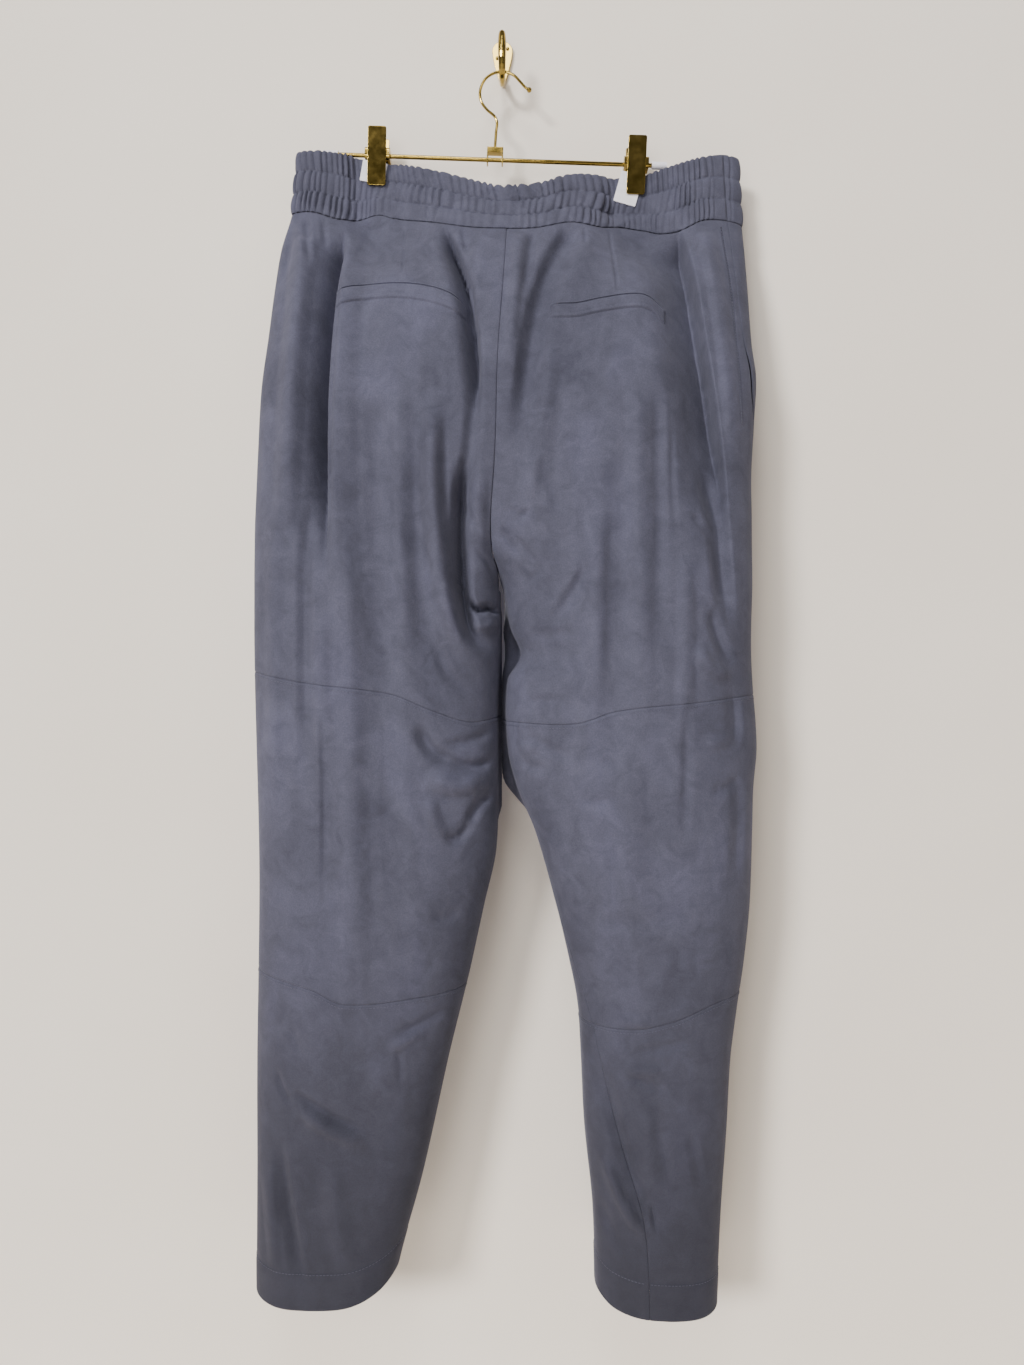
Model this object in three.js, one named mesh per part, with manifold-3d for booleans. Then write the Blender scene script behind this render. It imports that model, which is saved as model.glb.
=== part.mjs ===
// Suede pull-on trousers hanging by the waistband from a two-clip hanger on a small wall hook.
// Millimetres, Z up. The wall is the plane Y = 0 and the room lies on the -Y side, so the
// trousers' back faces -Y. X grows to the right as seen from the room. The origin is the
// centre of the wall plate's back face.
import * as THREE from 'three';
import Module from 'manifold-3d';

const wasm = await Module();
wasm.setup();

// Driving dimensions
const SEAM_GAP = 0.3;
// The centre seam is curved and its two edges have rows at different heights, so it needs more.
const CENTRE_EASE = 0.1;
const SUEDE = 1.6;
// The least a facet's own direction may agree with its corner's, as a cosine.
const SHARPEST = 0.8;
const WELT_RISE = 1.5;
const ROUNDNESS = 2.4;
// Half a seam's gap as a share of the way round one half.
const HALF_GIRTH = 520;
const SEAM_TURN = SEAM_GAP / 2 / HALF_GIRTH;

// The elastic waistband: its channels puff out and its gathers stand out from the wall.
const BAND = { wall: 2.2, channels: 3, puff: 1.4, gathers: 56, rise: 1.3, riseAtSeam: 0.26, middle: -150 };
const BAND_END_GAP = 2.5 * SEAM_TURN;

const COLUMNS = { back: 24, front: 10 };
const TIER_ROWS = { upper: 12, middle: 7, lower: 7 };

const HANGER_Y = -30;
const BAR_TILT = THREE.MathUtils.degToRad(2.0);
const BAR_CENTRE = { x: -6.7, z: -110.5 };
const BAR_LENGTH = 314;
const BAR_RADIUS = 2.0;
const CAP = { radius: 3.4, length: 14, depth: 11 };
const WIRE_RADIUS = 1.35;
// A spring clip: two leaning plates, jaw apart from the bar's middle, over a block on the bar.
const CLIP = { width: 17, height: 52, plate: 1.4, corner: 1.8, jaw: 5.1, lean: 0.11, above: 22 };
const BLOCK = { depth: 15.2, height: 10.4, corner: 3, past: 3 };
const CLIP_X = { left: -115.7, right: 124.6 };
// Soft card pads under the jaws: they peep out beside and below the plates.
const PADS = {
  left: { width: 23, height: 19.5, x: -3, z: -17.4, turn: 0.14 },
  right: { width: 21, height: 29, x: -6.5, z: -24.5, turn: 0.24 },
};
const PAD = { thickness: 1.5, offset: 4, corner: 1 };

// Each clip draws the cloth's two layers together. The soft pull reaches wide and fades out
// between two heights. The firm grip is full under the pads and none further off.
const PINCH = { reach: 52, top: -142, bottom: -262 };
const GRIP = { left: -119, right: 118, full: 14, none: 40, top: -158, bottom: -204, clear: 0.5 };
// The pinch over which gathers and puffs flatten out.
const FLATTENED = [0.6, 0.9];
// Folds and pinches die out towards the sides, by how far a point is from them (0 to 1).
const FLANK = { fold: [0.05, 0.55], pinch: [0, 0.3] };
// Heights where the centre seam ends, the legs part, and the inseam's gap doubles.
const CROTCH = { seamEnd: -500, parting: -515, wideGap: -520 };

const COLOURS = {
  suede: 0x6f7083,
  gold: 0x8a7335,
  pad: 0xe9e8f2,
};
const FINISH = {
  suede: { roughness: 0.95, metalness: 0 },
  gold: { roughness: 0.18, metalness: 1 },
  pad: { roughness: 0.6, metalness: 0 },
};

// Levels of each half, from waist to hem: outer and inner edge (x), the side towards the room
// (near, y), the side towards the wall (far, y), and how far round its own oval the centre seam
// lies (split: 0 is the middle of one wide oval, 1 is a closed leg).
const LEVEL_COLUMNS = ['z', 'outer', 'inner', 'near', 'far', 'split'];
const LEVELS = {
  left: rows(LEVEL_COLUMNS, [
    [-95, -190, 5, -42, -20, 0],
    [-157, -194, 5, -50, -15, 0.02],
    [-200, -203, 4, -70, -11, 0.05],
    [-240, -207, 2, -88, -8, 0.12],
    [-286, -211, -1, -101, -7, 0.22],
    [-335, -216, -4, -111, -6, 0.34],
    [-393, -218, -5, -118, -6, 0.48],
    [-430, -219, -7, -121, -6, 0.62],
    [-462, -220, -9, -122, -6, 0.77],
    [-484, -220, -8, -123, -6, 0.89],
    [-500, -220, -3, -124, -6, 0.97],
    [-515, -220, -1, -124, -6, 1],
    [-560, -220, -1, -124, -6, 1],
    [-614, -219, -3, -124, -7, 1],
    [-690, -217, -3, -123, -7, 1],
    [-749, -216, -5, -121, -7, 1],
    [-794, -216, -15, -119, -8, 1],
    [-858, -217, -29, -116, -10, 1],
    [-931, -218, -47, -113, -14, 1],
    [-1034, -217, -70, -112, -24, 1],
    [-1106, -216, -90, -115, -32, 1],
    [-1140, -215, -96, -117, -36, 1],
  ]),
  right: rows(LEVEL_COLUMNS, [
    [-95, 219, 5, -42, -20, 0],
    [-171, 222, 5, -55, -14, 0.03],
    [-200, 223, 4, -70, -11, 0.05],
    [-240, 224, 2, -88, -8, 0.12],
    [-295, 226, -2, -103, -7, 0.24],
    [-325, 229, -3, -110, -6, 0.32],
    [-369, 226, -4, -116, -6, 0.42],
    [-415, 223, -6, -120, -6, 0.56],
    [-451, 223, -9, -122, -6, 0.72],
    [-484, 223, -8, -123, -6, 0.89],
    [-500, 223, -3, -124, -6, 0.97],
    [-515, 223, 1, -124, -6, 1],
    [-550, 222, 8, -124, -6, 1],
    [-574, 222, 17, -124, -6, 1],
    [-596, 223, 5, -124, -7, 1],
    [-654, 227, 5, -123, -7, 1],
    [-692, 224, 14, -122, -7, 1],
    [-731, 223, 30, -121, -7, 1],
    [-794, 221, 48, -118, -8, 1],
    [-844, 216, 60, -115, -10, 1],
    [-885, 210, 68, -113, -12, 1],
    [-931, 204, 71, -112, -15, 1],
    [-994, 200, 74, -111, -20, 1],
    [-1064, 194, 81, -113, -28, 1],
    [-1145, 189, 83, -117, -36, 1],
  ]),
};

// Heights of the waistband's edges, the cross seams and the hem, along x.
const BAND_TOP = rows(['x', 'z'], [
  [-200, -107], [-186, -105], [-150, -108], [-116, -114.5], [-90, -119], [-45, -132], [0, -143.5],
  [35, -141], [63, -132], [90, -130], [124, -128], [150, -122], [185, -113], [205, -109.5], [228, -112],
]);
const BAND_SEAM = rows(['x', 'z'], [
  [-200, -164], [-175, -165], [-152, -172], [-134, -170], [-114, -163.5], [-93, -171.5], [-66, -180],
  [-30, -188.5], [0, -190.5], [30, -189], [62, -181], [90, -182.5], [110, -178.5], [131, -181],
  [145, -186], [165, -184.5], [183, -175.5], [205, -174], [228, -177],
]);
const THIGH_SEAM = {
  left: rows(['x', 'z'], [[-220, -588], [-169, -598], [-93, -608], [-60, -621], [-26, -632], [0, -628]]),
  right: rows(['x', 'z'], [[0, -632], [62, -633], [100, -622], [167, -615], [228, -608]]),
};
const KNEE_SEAM = {
  left: rows(['x', 'z'], [[-220, -848], [-162, -859], [-134, -871], [-69, -867], [-20, -863]]),
  right: rows(['x', 'z'], [[60, -894], [114, -894], [145, -887], [184, -873], [220, -868]]),
};
const HEM = {
  left: rows(['x', 'z'], [[-220, -1129], [-190, -1131], [-135, -1129], [-105, -1121], [-88, -1109]]),
  right: rows(['x', 'z'], [[80, -1127], [96, -1134], [140, -1139], [192, -1142]]),
};

// Where the side seam and the inseam lie round each half, from 0 at the back centre or the
// inseam, through 0.5 at the outer edge, to 1 at the front centre.
const SIDE_SEAM = {
  left: rows(['z', 'turn'], [[-1150, 0.5], [-100, 0.5]]),
  right: rows(['z', 'turn'], [
    [-1150, 0.5], [-600, 0.5], [-450, 0.49], [-372, 0.455], [-340, 0.41], [-240, 0.375], [-100, 0.37],
  ]),
};
const INSEAM = {
  left: rows(['z', 'turn'], [[-1150, 0], [-100, 0]]),
  right: rows(['z', 'turn'], [
    [-1150, 0.23], [-1060, 0.216], [-1000, 0.175], [-900, 0.1], [-850, 0.06], [-760, 0], [-100, 0],
  ]),
};
// The side pocket's mouth is the stretch of the right side seam that stands open.
const POCKET_MOUTH = { top: -292, bottom: -372, open: 0.011 };

// The largest folds of the back, each along a line from (x1, z1) through (x2, z2) to (x3, z3).
// rise is out of the cloth, a negative rise is a trough, and reach is its half width.
const FOLD_COLUMNS = ['x1', 'z1', 'x2', 'z2', 'x3', 'z3', 'rise', 'reach'];
const BACK_FOLDS = rows(FOLD_COLUMNS, [
  [-152, -186, -154, -300, -151, -455, -25, 14],
  [-176, -200, -178, -330, -182, -480, 6, 16],
  [-132, -230, -129, -450, -128, -860, 6, 22],
  [-103, -330, -98, -480, -84, -850, -7, 16],
  [-168, -430, -168, -560, -164, -660, -9, 14],
  [-58, -184, -34, -232, -22, -330, -17, 14],
  [-24, -360, -36, -470, -36, -560, -20, 14],
  [-53, -370, -57, -480, -50, -560, 11, 14],
  [-48, -556, -28, -584, -4, -590, 10, 14],
  [-72, -400, -74, -480, -70, -560, -8, 14],
  [64, -200, 34, -258, 8, -390, -15, 14],
  [26, -196, 23, -230, 19, -262, -6, 14],
  [2, -210, -2, -330, -6, -440, 7, 14],
  [98, -380, 97, -520, 92, -690, -8, 14],
  [74, -470, 74, -560, 72, -620, 7, 14],
  [124, -330, 126, -480, 124, -640, 6, 16],
  [140, -200, 153, -290, 163, -370, -9, 14],
  [152, -190, 176, -320, 188, -520, -17, 17],
  [178, -196, 190, -300, 204, -430, 9, 14],
  [192, -480, 196, -560, 206, -600, -9, 14],
  [68, -500, 58, -524, 42, -548, -7, 14],
  [-70, -640, -48, -664, -4, -668, -9, 14],
  [-60, -684, -30, -688, -6, -686, 7, 14],
  [-8, -700, -28, -722, -50, -730, -8, 14],
  [84, -975, 106, -1018, 128, -1062, -9, 14],
  [88, -1002, 102, -1042, 122, -1072, 7, 14],
  [-182, -944, -152, -962, -116, -978, -6, 14],
  [-192, -990, -180, -1050, -166, -1112, -7, 14],
]);
// The hidden side hangs against the wall, so its folds are softer.
const FRONT_FOLDS = rows(FOLD_COLUMNS, [
  [-160, -200, -158, -320, -150, -470, -7, 16],
  [-60, -200, -48, -330, -30, -480, -6, 16],
  [66, -205, 50, -330, 28, -480, -6, 16],
  [165, -200, 170, -340, 176, -500, -6, 16],
  [-105, -520, -104, -700, -110, -880, -5, 18],
  [110, -500, 112, -690, 120, -860, -5, 18],
]);

// Back pocket welts: the top edge along x, the welt's height, and how far it settles towards
// its panel from the outmost facet round each point.
const WELTS = {
  left: {
    top: rows(['x', 'z'], [[-146, -257], [-122, -250.5], [-92, -249], [-62, -253.5], [-29, -267]]),
    height: 16,
    seat: 0,
  },
  right: {
    top: rows(['x', 'z'], [[42, -270], [64, -269.5], [88, -264], [116, -260], [130, -262.5], [145, -273]]),
    height: 14,
    seat: 2.4,
  },
};
const WELT_COLUMNS = 14;
const FACET = { across: 7, down: 10 };

// Hook wire from the neck up round the prong to its tip, as (x, z).
const WIRE_PATH = rows(['x', 'z'], [
  [-6.7, -99.5], [-5.6, -84], [-4.8, -75], [-7.2, -69.5], [-14, -63.6], [-19.6, -55.5], [-20.4, -45],
  [-15.4, -34.6], [-6.5, -29], [3.2, -28.2], [11.2, -31.6], [17.4, -38], [22.2, -43.2], [25.2, -45],
]);
const TIP_RADIUS = 2.5;
// Prong of the wall hook as (y, z) with its half width.
const PRONG_PATH = rows(['y', 'z', 'radius'], [
  [-4.9, -19, 2.2], [-9.5, -27, 2.4], [-18, -32.2, 2.7], [-27, -33.1, 2.9], [-33, -31.6, 3.1],
  [-37.6, -25, 3.4], [-39.2, -14, 3.8], [-39, -4, 3.8], [-38.2, 2.6, 3.2], [-37.8, 5, 1.6],
]);
const PRONG_SIDES = 12;
// Teardrop plate: a round top whose sides run in to a narrow tip. sideX and sideZ shape the sides.
const PLATE = { thickness: 2.4, radius: 9.7, top: 18.3, tip: -24, tipHalf: 1.5, sideX: 8.73, sideZ: -3.44 };
const SCREW = { radius: 1.7, rise: 1.1, edgeRadius: 1.275, edgeRise: 0.88 };
const SCREW_PLACES = rows(['name', 'x', 'z'], [['left', -5, 2], ['right', 5, 11]]);
// The neck clip: a block on top of two legs, with the space between them cut out below.
const NECK = { width: 15, depth: 7, height: 15, below: 4.35, block: 5, leg: 1.2 };
const CUT_PAST = 4;

function rows(names, values) {
  return values.map((row) => Object.fromEntries(names.map((name, i) => [name, row[i]])));
}

// A smooth curve through a table's rows, read at one column for the value of another.
function read(table, key, at, column) {
  const list = table[0][key] < table[table.length - 1][key] ? table : [...table].reverse();
  const last = list.length - 1;
  if (at <= list[0][key]) return list[0][column];
  if (at >= list[last][key]) return list[last][column];
  let i = 0;
  while (list[i + 1][key] < at) i += 1;
  const slope = (j) => {
    const before = list[Math.max(j - 1, 0)];
    const after = list[Math.min(j + 1, last)];
    return (after[column] - before[column]) / (after[key] - before[key]);
  };
  const span = list[i + 1][key] - list[i][key];
  const t = (at - list[i][key]) / span;
  const start = list[i][column];
  const end = list[i + 1][column];
  const h = t * t * (3 - 2 * t);
  const easeIn = t * (1 - t) * (1 - t) * slope(i) * span;
  const easeOut = t * t * (1 - t) * slope(i + 1) * span;
  return start + (end - start) * h + easeIn - easeOut;
}

const power = (value, exponent) => Math.sign(value) * Math.abs(value) ** exponent;

function smoothstep(low, high, value) {
  const t = Math.min(Math.max((value - low) / (high - low), 0), 1);
  return t * t * (3 - 2 * t);
}

// Height of one fold at (x, z): a soft bump across its line that dies out towards its ends.
function foldRise(fold, x, z) {
  const { reach } = fold;
  const corners = [[fold.x1, fold.z1], [fold.x2, fold.z2], [fold.x3, fold.z3]];
  let nearest = Infinity;
  let along = 0;
  for (let i = 0; i < 2; i += 1) {
    const [ax, az] = corners[i];
    const dx = corners[i + 1][0] - ax;
    const dz = corners[i + 1][1] - az;
    const t = Math.min(Math.max(((x - ax) * dx + (z - az) * dz) / (dx * dx + dz * dz), 0), 1);
    const away = Math.hypot(x - ax - t * dx, z - az - t * dz);
    if (away < nearest) {
      nearest = away;
      along = (i + t) / 2;
    }
  }
  if (nearest >= reach) return 0;
  const across = (1 - (nearest / reach) ** 2) ** 2;
  const ends = smoothstep(0, 0.22, along) * smoothstep(0, 0.3, 1 - along);
  return fold.rise * across * Math.max(ends, 0);
}

function level(half, z) {
  const value = (column) => read(LEVELS[half], 'z', z, column);
  const outer = value('outer');
  const inner = value('inner');
  const split = Math.min(Math.max(value('split'), 0), 1);
  const reach = (outer - inner) / (1 + split);
  return { outer, inner, near: value('near'), far: value('far'), split, reach };
}

// How strongly a clip pulls the two layers together at (x, z).
function pinch(x, z) {
  const pull = (clip) => Math.exp(-2 * ((x - clip) / PINCH.reach) ** 2);
  const grip = (clip) => 1 - smoothstep(GRIP.full, GRIP.none, Math.abs(x - clip));
  const soft = Math.max(pull(CLIP_X.left), pull(CLIP_X.right)) * smoothstep(PINCH.bottom, PINCH.top, z);
  const firm = Math.max(grip(GRIP.left), grip(GRIP.right)) * smoothstep(GRIP.bottom, GRIP.top, z);
  return Math.max(soft, firm);
}

// A point of the cloth's outer face. turn runs once round the half, as in the seam tables.
function clothPoint(half, turn, z) {
  const { outer, near, far, split, reach } = level(half, z);
  const start = Math.acos(split ** (ROUNDNESS / 2));
  const wrapped = turn > 1 ? turn - 1 : turn;
  const angle = start + wrapped * 2 * (Math.PI - start);
  const centre = outer - reach;
  const x = centre - reach * power(Math.cos(angle), 2 / ROUNDNESS);
  const middle = (near + far) / 2;
  const swing = power(Math.sin(angle), 2 / ROUNDNESS);
  let y = middle - ((far - near) / 2) * swing;
  const flank = smoothstep(...FLANK.fold, Math.abs(swing));
  const folds = swing > 0 ? BACK_FOLDS : FRONT_FOLDS;
  const rise = folds.reduce((sum, fold) => sum + foldRise(fold, x, z), 0) * flank;
  y -= Math.sign(swing) * rise;
  const held = HANGER_Y - Math.sign(swing) * (BAND.wall + GRIP.clear);
  y += (held - y) * pinch(x, z) * smoothstep(...FLANK.pinch, Math.abs(swing));
  return new THREE.Vector3(x, y, z);
}

// The level direction straight out of the cloth at one turn.
function outward(half, turn, z) {
  const step = 0.004;
  const across = clothPoint(half, turn + step, z).sub(clothPoint(half, Math.max(turn - step, 0), z));
  const sign = half === 'right' ? 1 : -1;
  return new THREE.Vector3(sign * across.y, -sign * across.x, 0).normalize();
}

// Turn round the half of the back's point that lies at x.
function turnAt(half, x, z) {
  const { outer, split, reach } = level(half, z);
  const start = Math.acos(split ** (ROUNDNESS / 2));
  const cosine = Math.min(Math.max((outer - reach - x) / reach, -1), 1);
  return (Math.acos(power(cosine, ROUNDNESS / 2)) - start) / (2 * (Math.PI - start));
}

// Keeps each half on its own side of the seam between them.
function keepSide(half, point) {
  const seam = (table) => read(table, 'z', Math.max(point.z, CROTCH.seamEnd), 'inner');
  const centre = point.z > CROTCH.parting ? (seam(LEVELS.left) + seam(LEVELS.right)) / 2 : 0;
  const apart = SEAM_GAP / 2 + CENTRE_EASE;
  const limit = centre + (half === 'right' ? apart : -apart);
  point.x = half === 'right' ? Math.max(point.x, limit) : Math.min(point.x, limit);
  return point;
}

// A strip of triangles between two rows of points that may differ in number.
function zip(faces, first, second) {
  let i = 0;
  let j = 0;
  while (i < first.length - 1 || j < second.length - 1) {
    const a = (i + 1) / (first.length - 1);
    const b = (j + 1) / (second.length - 1);
    if (j >= second.length - 1 || (i < first.length - 1 && a <= b)) {
      faces.push([first[i], second[j], first[i + 1]]);
      i += 1;
    } else {
      faces.push([first[i], second[j], second[j + 1]]);
      j += 1;
    }
  }
}

// A row of points moved in level by a thickness, so that each facet stays parallel to its own.
// An end may be given a direction, which it then shares with the piece it meets there.
function inset(row, thickness, ends) {
  const across = row.slice(1).map((point, i) => {
    return new THREE.Vector3(point.y - row[i].y, row[i].x - point.x, 0).normalize();
  });
  return row.map((point, i) => {
    const given = { 0: ends[0], [row.length - 1]: ends[1] }[i];
    if (given) return point.clone().addScaledVector(given, -thickness);
    const before = across[Math.max(i - 1, 0)];
    const middle = across[Math.min(i, across.length - 1)].clone().add(before).normalize();
    return point.clone().addScaledVector(middle, -thickness / Math.max(middle.dot(before), SHARPEST));
  });
}

// A closed wall from a grid of outer points and a grid of inner points, rows from top to
// bottom. The outer grid's columns run to the right as seen from outside.
function wall(outer, inner) {
  const points = [];
  const number = (grid) => grid.map((row) => row.map((point) => points.push(point) - 1));
  const out = number(outer);
  const into = number(inner);
  const faces = [];
  for (let r = 0; r < out.length - 1; r += 1) zip(faces, out[r], out[r + 1]);
  const inside = [];
  for (let r = 0; r < into.length - 1; r += 1) zip(inside, into[r], into[r + 1]);
  // The inside has the outside's diagonals, so that twisted facets don't cross through the wall.
  faces.push(...inside.map(([a, b, c]) => [a, c, b]));
  zip(faces, into[0], out[0]);
  zip(faces, out[out.length - 1], into[into.length - 1]);
  const edge = (grid, column) => grid.map((row) => row[column === 0 ? 0 : row.length - 1]);
  zip(faces, edge(out, 0), edge(into, 0));
  zip(faces, edge(into, 1), edge(out, 1));
  const geometry = new THREE.BufferGeometry();
  const positions = points.flatMap((point) => [point.x, point.y, point.z]);
  geometry.setAttribute('position', new THREE.Float32BufferAttribute(positions, 3));
  geometry.setIndex(faces.flat());
  return geometry;
}

// Heights where a panel's tier starts and ends at a given x.
function tierEdges(half, tier) {
  const thigh = (x) => read(THIGH_SEAM[half], 'x', x, 'z');
  const knee = (x) => read(KNEE_SEAM[half], 'x', x, 'z');
  const waist = (x) => read(BAND_SEAM, 'x', x, 'z');
  const hem = (x) => read(HEM[half], 'x', x, 'z');
  return { upper: [waist, thigh], middle: [thigh, knee], lower: [knee, hem] }[tier];
}

// Where a panel's two long edges lie round the half at height z: the back runs from the centre
// or the inseam to the side seam, and the front from there on.
function panelBounds(half, side, z) {
  const inseam = Math.max(read(INSEAM[half], 'z', z, 'turn'), 0);
  const inseamGap = z < CROTCH.wideGap ? 2 * SEAM_TURN : SEAM_TURN;
  const seam = read(SIDE_SEAM[half], 'z', z, 'turn');
  if (side === 'back') return [inseam + inseamGap, seam - SEAM_TURN];
  const below = smoothstep(POCKET_MOUTH.bottom, POCKET_MOUTH.bottom + 25, z);
  const above = smoothstep(POCKET_MOUTH.top, POCKET_MOUTH.top - 25, z);
  const gape = half === 'right' ? below * above * POCKET_MOUTH.open : 0;
  return [seam + SEAM_TURN + gape, 1 + inseam - inseamGap];
}

// The height at which a line up the cloth at one turn meets an edge that is given along x.
function settle(edge, half, turn) {
  let z = BAND.middle;
  for (let pass = 0; pass < 8; pass += 1) z = edge(clothPoint(half, turn, z).x);
  return z;
}

// The height at which one column of a panel meets an edge that is given along x.
function meet(half, side, edge, fraction) {
  let z = edge(half === 'left' ? -110 : 110);
  for (let pass = 0; pass < 6; pass += 1) {
    const [low, high] = panelBounds(half, side, z);
    z = edge(clothPoint(half, low + (high - low) * fraction, z).x);
  }
  return z;
}

function legPanel(half, side, tier) {
  const [topEdge, bottomEdge] = tierEdges(half, tier);
  const columns = COLUMNS[side];
  const outer = [];
  const inner = [];
  for (let r = 0; r <= TIER_ROWS[tier]; r += 1) {
    const row = [];
    const normals = [];
    for (let c = 0; c <= columns; c += 1) {
      const fraction = c / columns;
      const top = meet(half, side, topEdge, fraction) - SEAM_GAP / 2;
      const bottom = meet(half, side, bottomEdge, fraction) + (tier === 'lower' ? 0 : SEAM_GAP / 2);
      const z = top + (bottom - top) * (r / TIER_ROWS[tier]);
      const [low, high] = panelBounds(half, side, z);
      const turn = low + (high - low) * fraction;
      row.push(keepSide(half, clothPoint(half, turn, z)));
      const atCentre = z > CROTCH.parting && c === (side === 'back' ? 0 : columns);
      if (c % columns === 0) normals.push(atCentre ? null : outward(half, turn > 1 ? turn - 1 : turn, z));
    }
    if (half === 'left') {
      row.reverse();
      normals.reverse();
    }
    outer.push(row);
    inner.push(inset(row, SUEDE, normals).map((point) => keepSide(half, point)));
  }
  return wall(outer, inner);
}

// The waist seam as the straight stretches between the columns of the panels below it.
function waistLine(side) {
  const edge = (x) => read(BAND_SEAM, 'x', x, 'z');
  const columns = COLUMNS[side];
  const corners = [];
  for (const half of ['left', 'right']) {
    for (let c = 0; c <= columns; c += 1) {
      const z = meet(half, side, edge, c / columns);
      const [low, high] = panelBounds(half, side, z);
      corners.push({ x: clothPoint(half, low + ((high - low) * c) / columns, z).x, z });
    }
  }
  return corners.sort((a, b) => a.x - b.x);
}

function straight(line, x) {
  const next = line.findIndex((corner) => corner.x > x);
  if (next < 0) return line[line.length - 1].z;
  if (next === 0) return line[0].z;
  const before = line[next - 1];
  const after = line[next];
  return before.z + ((after.z - before.z) * (x - before.x)) / (after.x - before.x);
}

// The waistband runs unbroken across both halves. Every other column stands out, which makes
// the gathers, and the rows between the channels' stitches stand out too. Its inside is plain.
function waistband(side) {
  const columns = BAND.gathers * 2;
  const channelRows = BAND.channels * 2;
  const seamLine = waistLine(side);
  const outer = [];
  const inner = [];
  for (let r = 0; r <= channelRows; r += 1) {
    const base = [];
    const normals = [];
    const rises = [];
    for (let c = 0; c <= columns; c += 1) {
      const across = (2 * c) / columns - 1;
      const half = across < 0 ? 'left' : 'right';
      const seam = read(SIDE_SEAM[half], 'z', BAND.middle, 'turn');
      const span = (side === 'back' ? seam : 1 - seam) - BAND_END_GAP;
      const turn = side === 'back' ? Math.abs(across) * span : 1 - Math.abs(across) * span;
      const top = settle((x) => read(BAND_TOP, 'x', x, 'z'), half, turn);
      const bottom = settle((x) => straight(seamLine, x), half, turn) + 2 * SEAM_GAP;
      const point = clothPoint(half, turn, top + (bottom - top) * (r / channelRows));
      base.push(point);
      normals.push(outward(half, turn, point.z));
      const free = c % columns === 0 ? 0 : 1 - smoothstep(...FLATTENED, pinch(point.x, point.z));
      const gather = (c % 2) * (r === channelRows ? BAND.riseAtSeam : BAND.rise) * free;
      const puff = (r % 2) * BAND.puff * free;
      rises.push(gather + puff);
    }
    if (side === 'front') [base, normals, rises].forEach((list) => list.reverse());
    outer.push(base.map((point, c) => point.clone().addScaledVector(normals[c], rises[c])));
    if (r % 2 === 0) inner.push(inset(base, BAND.wall, [normals[0], normals[columns]]));
  }
  return wall(outer, inner);
}

// How far the back stands out round (x, z), so that what lies there clears the panel's facets.
function outmost(half, x, z) {
  const around = [-FACET.across, 0, FACET.across];
  const drops = [-FACET.down, 0, FACET.down];
  const depths = around.flatMap((dx) => drops.map((dz) => {
    return clothPoint(half, turnAt(half, x + dx, z + dz), z + dz).y;
  }));
  return Math.min(...depths);
}

// A welt lies on its panel: the panel's own points, moved out.
function welt(half) {
  const { top, height, seat } = WELTS[half];
  const left = top[0].x;
  const right = top[top.length - 1].x;
  const layer = (lift, rowCount) => {
    const grid = [];
    for (let r = 0; r <= rowCount; r += 1) {
      const row = [];
      for (let c = 0; c <= WELT_COLUMNS; c += 1) {
        const x = left + ((right - left) * c) / WELT_COLUMNS;
        const z = read(top, 'x', x, 'z') - (height * r) / rowCount;
        row.push(new THREE.Vector3(x, outmost(half, x, z) - lift + seat, z));
      }
      grid.push(row);
    }
    return grid;
  };
  return wall(layer(SEAM_GAP + WELT_RISE, 2), layer(SEAM_GAP, 2));
}

// A closed tube along points in the plane X = 0, with a radius at each.
function taperedTube(points, radii, sides) {
  const curve = new THREE.CatmullRomCurve3(points);
  const steps = points.length * 2;
  const positions = [];
  const index = [];
  for (let s = 0; s <= steps; s += 1) {
    const place = curve.getPoint(s / steps);
    const tangent = curve.getTangent(s / steps);
    const at = (s / steps) * (radii.length - 1);
    const before = Math.min(Math.floor(at), radii.length - 2);
    const radius = radii[before] + (radii[before + 1] - radii[before]) * (at - before);
    for (let k = 0; k < sides; k += 1) {
      const angle = (2 * Math.PI * k) / sides;
      const lift = radius * Math.sin(angle);
      positions.push(radius * Math.cos(angle), place.y + tangent.z * lift, place.z - tangent.y * lift);
    }
  }
  for (let s = 0; s < steps; s += 1) {
    for (let k = 0; k < sides; k += 1) {
      const next = (k + 1) % sides;
      const a = s * sides + k;
      const b = s * sides + next;
      index.push(a, b, a + sides, b, b + sides, a + sides);
    }
  }
  const first = positions.length / 3;
  const start = points[0];
  const end = points[points.length - 1];
  positions.push(start.x, start.y, start.z, end.x, end.y, end.z);
  for (let k = 0; k < sides; k += 1) {
    const next = (k + 1) % sides;
    index.push(first, next, k);
    index.push(first + 1, steps * sides + k, steps * sides + next);
  }
  const geometry = new THREE.BufferGeometry();
  geometry.setAttribute('position', new THREE.Float32BufferAttribute(positions, 3));
  geometry.setIndex(index);
  return geometry;
}

// A round wire along a smooth path.
function wire(points, radius, sides, steps) {
  const circle = new THREE.Shape();
  circle.absarc(0, 0, radius, 0, 2 * Math.PI);
  const extrudePath = new THREE.CatmullRomCurve3(points);
  return new THREE.ExtrudeGeometry(circle, { steps, curveSegments: sides / 2, extrudePath });
}

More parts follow.
